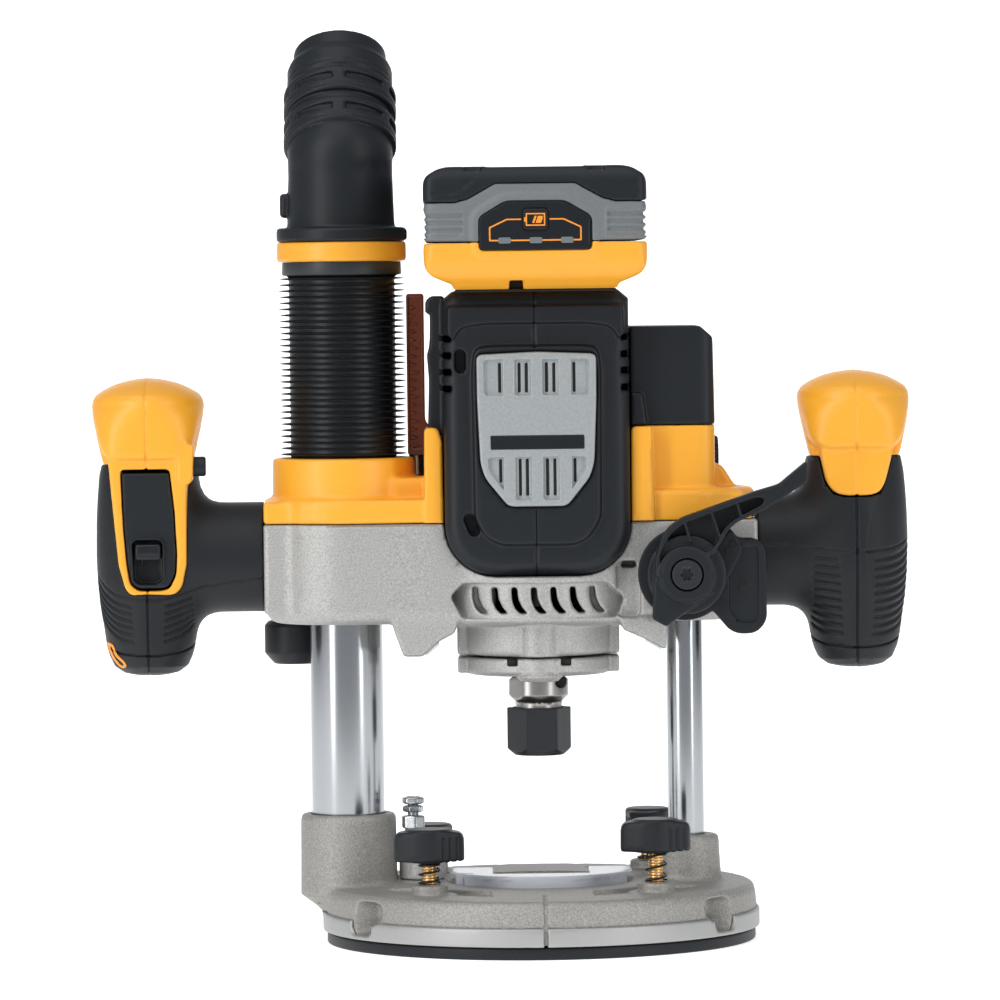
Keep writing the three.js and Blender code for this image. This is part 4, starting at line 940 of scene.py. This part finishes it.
def padlock(s, centre, front, lift, slip):
    """A raised padlock mark, shut or with its shackle lifted and slipped to one side."""
    x, z = centre
    body = xz(s, soften(oblong(x - 2, x + 2, z - 2, z + 1.2), 0.4))
    bow = np.hypot(s.x - x - slip, both(s.z - z - 1.4 - lift, 0)) - 1.25
    bow = both(abs(bow) - 0.32, z + 1 - s.z)
    return slab(join(body, bow), s.y, front, front + 0.5)


carve("lock_lever_arm", "lock_lever", BLACK, (41.2, -47.2, 124.5), (105.2, -9.6, 189.9), 0.42, lever_shape,
    ["lock_lever"])
carve("lock_lever_screw", "lock_lever", DARK_STEEL, (51.2, -47, 138.7), (64.2, -42.8, 152.7), 0.25,
    screw_shape)
carve("lock_plate_body", "carriage", BLACK, (38.2, -38.4, 122.5), (89.6, -33.2, 164.9), 0.36,
    lock_plate_shape, ["lock_plate"])
MARKS = {"shut": ((22.3, -5.6), -35.9, 0.0, 0.0), "open": ((17.2, 9.2), -38.2, 0.9, 1.3)}
for name, (away, front, lift, slip) in MARKS.items():
    at = hub_to([away])[0]
    mark = (at, front, lift, slip)
    carve(f"lock_mark_{name}", "carriage", SHADE_AND_MARK_BLACK, (at[0] - 3, front - 0.2, at[1] - 3),
        (at[0] + 4, front + 0.7, at[1] + 5), 0.16, lambda s, mark=mark: padlock(s, *mark))


# ------------------------------------------------------------------ handles
GRIP_PROFILE = [(0, 106.4), (6, 106.6), (11, 107.8), (14.6, 110.4), (16.6, 114.6), (17.6, 119), (18.8, 127),
    (20, 135), (20.8, 144), (21.2, 155), (21, 168), (20.4, 178), (19.6, 186), (18.6, 190), (0, 190)]
CAP_PROFILE = [(0, 188), (17.3, 188), (17.4, 190.3), (18.2, 193), (19.6, 199), (21, 205), (21.9, 210),
    (22.2, 213), (21.8, 215.4), (20.5, 217.4), (18, 219.2), (14, 221.2), (10, 222.6), (5, 223.6), (0, 224)]


def grip_shape(x, facing):
    """A grip with its arm. facing is the side of the grip that the arm leaves, 1 or -1."""
    def shape(s):
        d = turned(s, GRIP_PROFILE, (x, 0), 1.14)
        a, b = sorted((x, -107.8 if x < 0 else 86.7))
        d = join(d, rod(s, "x", (0, 152.8), 21.7, a, b), 9)
        d = both(d, (s.x - b) if x < 0 else (a - s.x))
        u = s.x - x
        angle = abs(np.arctan2(u, -s.y))
        rise, pitch, count = (6.2, 2.8, 6) if x < 0 else (2.9, 3.25, 10)
        height = s.z - rise * angle ** 2
        crest = 118.4 + pitch * count
        groove = (0.5 - 0.5 * np.cos(2 * pi * (height - 118.4) / pitch)) ** 2
        groove = groove * np.clip((angle - 0.27) / 0.07, 0, 1) * np.clip((17.8 - u * facing) / 0.8, 0, 1)
        d = d + np.where((height > 118.4) & (height < crest), 0.75 * groove, 0)
        arch = both(abs(height - crest - 2) - 0.3, angle - 1.2)
        d = cut(d, both(arch, abs(d) - 0.45), 0.2)
        seam = both(abs(u + 0.3) - 0.35, s.y)
        d = cut(d, both(seam, abs(d) - 0.7), 0.2)
        ring = abs(s.z - 115.4 + 3.4 * np.cos(join(angle * 1.2, 3.1)) - 3) - 0.35
        return cut(d, both(ring, abs(d) - 0.8), 0.2)
    return shape


def left_grip_shape(s):
    d = grip_shape(GRIPS[0], 1)(s)
    d = cut(d, face(s, FRAME, -40, -12), 0.3)
    d = cut(d, slab(xz(s, OPENING) - 0.3, s.y, -30, -4))
    return cut(d, brick(s, -141.4, -120, -25.3, -12, 182.6, 200))


FRAME = soften([(-167.9, 190.3), (-169.4, 201), (-135.6, 201), (-136.6, 190.3), (-137.4, 178),
    (-137.6, 165), (-137.7, 151), (-139.6, 142.2), (-142.6, 139.1), (-159.6, 139.1), (-161.8, 141.4),
    (-164.4, 151), (-166.3, 172)], [1, 6, 6, 1, 1, 1, 1, 2, 2, 2, 2, 1, 1])
OPENING = soften([(-163.2, 188.4), (-144, 188.4), (-142.2, 172), (-141.4, 155), (-141.8, 147),
    (-144.4, 141.6), (-147.6, 140.8), (-156.8, 140.8), (-159.8, 143.2), (-161.2, 151), (-162.4, 165)], 1.5)


def cap_field(s, x, foot):
    """A domed cap, round at the crown and squarer in front, where its brow ends at a height."""
    heights = [z for r, z in CAP_PROFILE[2:]]
    radii = [max(r, 0.3) for r, z in CAP_PROFILE[2:]]
    radius = np.interp(s.z, heights, radii)
    slope = np.gradient(radius, axis=2) / s.step
    front = s.y < 0
    power = np.where(front, 2 + 4 * np.clip((213 - s.z) / 22, 0, 1), 2)
    deep = np.where(front & (s.z < 213), 25.9, 1.16 * radius)
    edge = (abs((s.x - x) / radius) ** power + abs(s.y / deep) ** power) ** (1 / power)
    d = (edge - 1) * radius / np.sqrt(1 + slope ** 2)
    brow = polygon(s.x - x, s.z, soften([(-26, 240), (-22.6, 208), (-18.2, foot), (17.8, foot), (22.6, 208),
        (26, 240)], [0, 2, 12, 12, 2, 0], 8))
    d = cut(d, both(-brow, s.y + 13), 2.4)
    return both(both(d, s.z - 223.9), 190.3 - s.z)


def cap_seam(s, d, x):
    seam = both(abs(s.x - x + 0.2) - 0.3, s.y)
    return cut(d, both(seam, abs(d) - 0.5), 0.3)


def left_cap_shape(s):
    d = cap_field(s, GRIPS[0], 192)
    d = join(d, face(s, FRAME, -23.7, -12.3, 1.2), 1)
    boss = soften([(-141, 182.8), (-136.6, 182), (-134.8, 184.4), (-134.2, 198), (-141, 198)], 1.2)
    d = join(d, face(s, boss, -24.6, -13, 1), 0.8)
    d = cut(d, face(s, OPENING, -40, 0), 0.6)
    d = cut(d, rod(s, "x", LOCK_OFF, 4.15, -142.6, -120))
    return cap_seam(s, d, GRIPS[0])


def right_cap_shape(s):
    d = cap_field(s, GRIPS[1], 193.2)
    apron = soften([(110.6, 200), (111.6, 190), (113.6, 180), (116.6, 176), (121, 174.8), (130, 174.8),
        (134.4, 176), (136.6, 180), (139.2, 190), (140.4, 200)], [0, 2, 3, 2, 2, 2, 2, 3, 2, 0])
    d = join(d, face(s, apron, -23.6, -12, 1.4), 1)
    return cap_seam(s, d, GRIPS[1])


def right_grip_shape(s):
    d = grip_shape(GRIPS[1], -1)(s)
    pocket = soften([(110.4, 192), (111.2, 189), (113.2, 179.6), (116.2, 175.4), (120.8, 174.2),
        (130.2, 174.2), (134.8, 175.4), (137, 179.6), (139.6, 189), (140.6, 192)], 1.2)
    return cut(d, face(s, pocket, -40, -11.6), 0.4)


carve("grip_left_body", "carriage", SOFT_BLACK, (-175, -25, 106.2), (-107.6, 25, 190), 0.44,
    left_grip_shape, ["handle_left"], 0.06)
TEAR = soften([(-170.2, 120.4), (-167.4, 119.4), (-166, 115.4), (-163, 112.8), (-162, 111), (-163.2, 109.8),
    (-165.2, 110.2), (-167.8, 113.2), (-169.6, 117)], 0.9)


def insert_shape(s):
    """A ring a little proud of the grip, along the tear's outline."""
    grip, tear = left_grip_shape(s), xz(s, TEAR)
    return both(both(grip - 0.25, -0.3 - grip), slab(both(tear, -1.1 - tear), s.y, -40, 0))


carve("grip_left_insert", "carriage", ORANGE, (-171, -24, 109), (-161, -6, 121), 0.3, insert_shape)
carve("grip_right_body", "carriage", SOFT_BLACK, (86.5, -25, 106.2), (147, 25, 190), 0.44, right_grip_shape,
    ["handle_right"], 0.06)
carve("grip_cap_left", "carriage", YELLOW, (-175.6, -26.2, 136.4), (-130.6, 25.8, 224.2), 0.6,
    left_cap_shape, ["handle_cap_left"])
carve("grip_cap_right", "carriage", YELLOW, (103, -26.2, 175), (148, 25.8, 224.2), 0.6, right_cap_shape,
    ["handle_cap_right"])


def trigger_shape(s):
    side = soften([(-24.6, 187), (-24, 172), (-23.4, 160), (-24.6, 140.6), (-13.5, 140.6), (-13.5, 187)], 1.2)
    outline = both(xz(s, OPENING), polygon(s.x, s.z - 0.6, OPENING)) + 0.45
    d = both(slab(outline, s.y, -24.8, -13.5, 1.4), yz(s, side), 0.6)
    slot = soften([(-158.3, 145), (-156, 143.4), (-149.6, 143.4), (-147.2, 145), (-147.2, 159.4),
        (-148.4, 160.6), (-157.6, 160.6), (-158.8, 159.4)], 0.8)
    field = xz(s, slot)
    d = join(d, slab(abs(field - 0.6) - 0.5, s.y, -25.1, -18, 0.3), 0.4)
    return cut(d, slab(field, s.y, -40, -18.6), 0.3)


def slider_shape(s):
    d = brick(s, -157.7, -147.8, -26.2, -19.4, 153, 159.2, 1)
    d = cut(d, rod(s, "x", (-27.6, 152.4), 3, -160, -140), 0.3)
    return join(d, brick(s, -155.8, -154.8, -21, -19.2, 150.8, 155, 0.2))


carve("trigger_pad", "trigger", BLACK, (-164.6, -25.4, 138.4), (-142.2, -13.3, 187.8), 0.45, trigger_shape,
    ["trigger"])
carve("trigger_slide", "trigger_slider", GLOSS_BLACK, (-158.8, -26.4, 146.6), (-147.2, -19, 159.6), 0.3,
    slider_shape, ["trigger_slider"])
carve("lock_off_pin", "lock_off_button", BLACK, (-139, -23, 185), (-129.6, -14.2, 193.6), 0.3,
    lambda s: rod(s, "x", LOCK_OFF, 3.9, -138.8, -129.8, 0.9), ["lock_off_button"])


# ------------------------------------------------------------------ battery pack
def pack_plan(s, inset):
    h = 43.8 - inset
    return xy(s, soften(oblong(-h, h, -60 + inset, 57 - inset), 7, 6))


PANEL = soften(mirrored([(-11.6, 291.6), (-22, 285.4), (-22, 272.2)]), 2.2)
CROWN = mirrored([(-60, 291.2), (-31, 291.2), (-26, 292.6), (-15.6, 298.4)]) + [(60, 250), (-60, 250)]


def lower_shape(s):
    side = soften(mirrored([(-31.6, 257.06), (-32.4, 259.4), (-36, 260.8), (-41, 263), (-43.2, 266.5),
        (-43.6, 270), (-43.6, SPLIT)]), [0.3, 1, 1.5, 2, 2, 1, 0, 0, 1, 2, 2, 1.5, 1, 0.3])
    front = soften([(-46, 257.06), (-55, 261.6), (-58.4, 267), (-60, SPLIT), (57, SPLIT), (56, 266),
        (50, 257.06)], [1, 3, 2, 0, 0, 2, 1])
    d = both(pack_plan(s, 0.2), xz(s, side), 1)
    d = both(d, yz(s, front), 1.2)
    ring = xz(s, PANEL)
    d = join(d, slab(ring - 2.6, s.y, -60, -40, 1.5), 1.2)
    d = both(d, s.z - SPLIT)
    d = cut(d, slab(ring, s.y, -80, -58.6), 0.3)
    d = cut(d, brick(s, -10.2, -4.8, -70, -40, 255, 260.8, 0.3))
    d = cut(d, brick(s, -20, 20, -22.6, 80, 250, 260.3))
    d = cut(d, brick(s, -22.5, 22.5, -22.6, 80, 259.6, 263))
    for x in (-12, -4, 4, 12):
        d = cut(d, brick(s, x - 1.2, x + 1.2, -17, 80, 262, 272))
    return cut(d, brick(s, -40, 40, -56, 53, 269, 280))


def upper_body(s):
    d = pack_plan(s, 0)
    side = soften(mirrored([(-43.8, 275), (-43.8, 298.8), (-42.2, 301.4), (-35.6, 305.5)]),
        [0, 4, 3, 4, 4, 3, 4, 0])
    front = soften([(-60, 275), (-60, 300), (-56, 305.5), (53, 305.5), (57, 300), (57, 275)],
        [0, 4, 2, 2, 4, 0])
    d = both(d, xz(s, side), 2)
    return both(d, yz(s, front), 2)


def top_shape(s):
    d = upper_body(s)
    d = both(d, -xz(s, CROWN))
    d = cut(d, layer(s, soften(oblong(-19, 19, -57, 50), 2), 304.7, 320), 0.4)
    for x in (-24, 24):
        d = cut(d, brick(s, x - 3.4, x + 3.4, -59, -50, 302.8, 320, 1), 0.5)
        edge = stroke(s.x, s.z, [(x, 304), (x * 1.02, 300), (x * 1.2, 296.4), (x * 1.4, 294.6),
            (x * 2, 294.6)], 1.0)
        d = cut(d, slab(edge, s.y, -70, -59.4), 0.8)
    return d


def band_shape(s):
    d = upper_body(s) + 0.4
    d = both(d, xz(s, CROWN) + 0.3)
    ring = xz(s, PANEL)
    d = join(d, slab(ring - 2.8, s.y, -60, -50, 1.2), 1.4)
    d = both(d, xz(s, CROWN) + 0.3)
    d = both(d, 275.9 - s.z)
    for side in (-1, 1):
        grip = xz(s, soften([(side * 27.6, 277.4), (side * 27.6, 288.6), (side * 50, 288.6),
            (side * 50, 277.4)], [2, 2, 0, 0]))
        far = both(abs(s.z - 283) - 5.6, abs(s.y + 45) - 12)
        zone = np.where(abs(s.x) > 42, join(grip, far), grip)
        ribs = abs((s.z - 277.4) % 2.9 - 1.45) - 0.8
        d = cut(d, both(zone, both(-ribs, -(d + 0.7))), 0.3)
        frame_line = abs(grip) - 0.3
        d = d - 0.35 * np.clip(1 - both(frame_line, 0) / 0.5, 0, 1) * (s.y < -50)
    d = cut(d, slab(ring, s.y, -80, -58.6), 0.3)
    d = cut(d, brick(s, -40, 40, -56, 53, 270, 302))
    return cut(d, brick(s, -15.4, 15.4, 50, 60, 277.4, 290.4))


LOOP = [(-5.6, 284.3), (-11, 284.3), (-17.6, 281.2), (-17.6, 276.2), (17.6, 276.2), (17.6, 281.2),
    (11, 284.3), (5.8, 284.3)]


def panel_shape(s):
    ring = xz(s, PANEL)
    d = slab(ring + 0.25, s.y, -59.8, -56, 0.5)
    return cut(d, brick(s, -5.2, 5.4, -62, -59.4, 279.4, 289.2, 1.2))


# A dark block behind the notch in the battery case: painted shade.
carve("battery_notch_shade", "battery", SHADE_AND_MARK_BLACK, (-11, -43, 257), (-4, -39.6, 262), 0.5,
    lambda s: brick(s, -10.6, -4.4, -42.4, -40.2, 257.4, 261.2))
# A dark strip under the battery's front edge, closing the gap to the housing: a painted shadow line.
carve("battery_gap_shade", "battery", SHADE_AND_MARK_BLACK, (-32, -44.8, 255.8), (32, -39.8, 257.8), 0.3,
    lambda s: brick(s, -31.4, 31.4, -44.4, -40.2, 256.3, 257.4, 0.3))
carve("battery_lower_shell", "battery", YELLOW, (-43.8, -60.2, 257), (43.8, 57.2, 275.8), 0.6, lower_shape,
    ["battery_lower_case"])
carve("battery_top_shell", "battery", BLACK, (-44, -60.2, 290.8), (44, 57.2, 305.7), 0.6, top_shape)
carve("battery_band", "battery", GREY, (-44, -60.2, 275.8), (44, 57.2, 298.6), 0.55, band_shape,
    ["battery_upper_case"])
carve("gauge_panel", "battery", GLOSS_BLACK, (-22.2, -60, 272), (22.2, -56, 291.8), 0.4, panel_shape)
carve("gauge_line", "battery", ORANGE, (-18.4, -60.2, 275.4), (18.4, -59.4, 285), 0.2,
    lambda s: slab(stroke(s.x, s.z, LOOP, 0.62), s.y, -59.98, -59.5, 0.05))
for n, x in enumerate((-11.9, 0.2, 12.3)):
    window = soften(oblong(x - 2.5, x + 2.5, 275, 277.4), 0.8)
    carve(f"gauge_lamp_{n}", "battery", LAMP, (x - 3, -60.3, 274.4), (x + 3, -59.4, 278), 0.25,
        lambda s, window=window: face(s, window, -60.15, -59.5, 0.2))


def icon_field(s):
    x, z = s.x - 0.1, s.z - 284.2
    frame_box = abs(both(abs(x) - 3.5, abs(z) - 2.2)) - 0.28
    tip = both(abs(x + 4.0) - 0.4, abs(z) - 0.9)
    slant = x - 0.35 * z
    bars = both(join(abs(slant + 0.4) - 0.45, abs(slant - 1.6) - 1.1), both(abs(z) - 1.4, abs(x) - 2.8))
    return join(join(frame_box, tip), bars)


carve("gauge_key", "gauge_button", GLOSS_BLACK, (-5, -60.9, 279.6), (5.2, -57, 289), 0.3,
    lambda s: face(s, soften(oblong(-4.7, 4.9, 280.2, 288.4), 1.6), -60.6, -57.4, 0.5), ["gauge_button"])
carve("gauge_icon", "gauge_button", ORANGE, (-4.8, -60.85, 281.4), (4.2, -60.3, 287), 0.14,
    lambda s: slab(icon_field(s), s.y, -60.78, -60.4))


def latch_shape(s):
    """A button with fine grooves across its face."""
    grooves = both(abs(s.z % 2.4 - 1.2) - 0.4, abs(s.x) - 11) + both(57.6 - s.y, 0)
    return cut(brick(s, -15, 15, 50.6, 58.4, 277.8, 290, 1.4), grooves, 0.3)


carve("battery_latch_key", "battery_latch", BLACK, (-15.2, 50.4, 277.6), (15.2, 58.6, 290.2), 0.5,
    latch_shape, ["battery_latch"])


# ------------------------------------------------------------------ the CAD nodes that carry over
CARRIED = {"column_bush": BRASS, "stator": COPPER, "bearing_lower": ZINC, "bearing_upper": ZINC,
    "controller_board": CIRCUIT, "terminal_block": BLACK, "rotor": DARK_STEEL, "fan": BLACK,
    "battery_cells": CELLS}
for name, material in CARRIED.items():
    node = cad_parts[name]
    node.data.materials.clear()
    node.data.materials.append(material)


# ------------------------------------------------------------------ stage, light and camera
def backdrop():
    """A pale floor that curves up into a wall behind."""
    profile = [(-0.5, 0.0), (1.2, 0.0)]
    profile += [(1.2 + 0.8 * sin(a), 0.8 - 0.8 * cos(a)) for a in np.linspace(0.1, pi / 2, 14)]
    profile.append((2.0, 1.3))
    mesh = bpy.data.meshes.new("backdrop")
    points = [(x, y, z) for y, z in profile for x in (-1.1, 1.1)]
    faces = [(2 * i, 2 * i + 1, 2 * i + 3, 2 * i + 2) for i in range(len(profile) - 1)]
    mesh.from_pydata(points, [], faces)
    mesh.polygons.foreach_set("use_smooth", [True] * len(faces))
    white = finish("backdrop_white", (0.9, 0.9, 0.9), 0.9)
    shader = white.node_tree.nodes["Principled BSDF"]
    shader.inputs["Emission Color"].default_value = (1, 1, 1, 1)
    shader.inputs["Emission Strength"].default_value = 0.62
    mesh.materials.append(white)
    stage = bpy.data.objects.new("backdrop", mesh)
    bpy.context.scene.collection.objects.link(stage)


def softbox(name, azimuth, height, distance, width, tall, power, target=(0, 0, 0.17)):
    lamp = bpy.data.lights.new(name, "AREA")
    lamp.shape = "RECTANGLE"
    lamp.size, lamp.size_y, lamp.energy = width, tall, power
    holder = bpy.data.objects.new(name, lamp)
    angle = radians(azimuth)
    holder.location = (distance * sin(angle), -distance * cos(angle), height)
    aim = Vector(target) - holder.location
    holder.rotation_euler = aim.to_track_quat("-Z", "Y").to_euler()
    bpy.context.scene.collection.objects.link(holder)


backdrop()
softbox("strip_left", -46, 0.6, 1.9, 0.40, 2.2, 17)
softbox("strip_right", 47, 0.6, 1.9, 0.32, 2.2, 11)
softbox("overhead", -20, 2.4, 0.9, 2.2, 1.6, 17)
softbox("front_fill", -25, 1.9, 2.6, 1.6, 0.8, 9)

world = bpy.data.worlds.new("studio")
world.use_nodes = True
world.node_tree.nodes["Background"].inputs["Color"].default_value = (0.93, 0.96, 1.0, 1)
world.node_tree.nodes["Background"].inputs["Strength"].default_value = 0.42
bpy.context.scene.world = world
bpy.context.scene.view_settings.view_transform = "Standard"

camera = bpy.data.cameras.new("camera")
camera.lens, camera.sensor_width = 235, 36
holder = bpy.data.objects.new("camera", camera)
holder.location = (-0.022, -2.58, 0.263)
aim = Vector((-0.00065, 0, 0.174)) - holder.location
roll = Matrix.Rotation(radians(-0.7), 4, "Z")
turn = aim.to_track_quat("-Z", "Y").to_matrix().to_4x4()
holder.matrix_world = Matrix.Translation(holder.location) @ turn @ roll
bpy.context.scene.collection.objects.link(holder)
bpy.context.scene.camera = holder

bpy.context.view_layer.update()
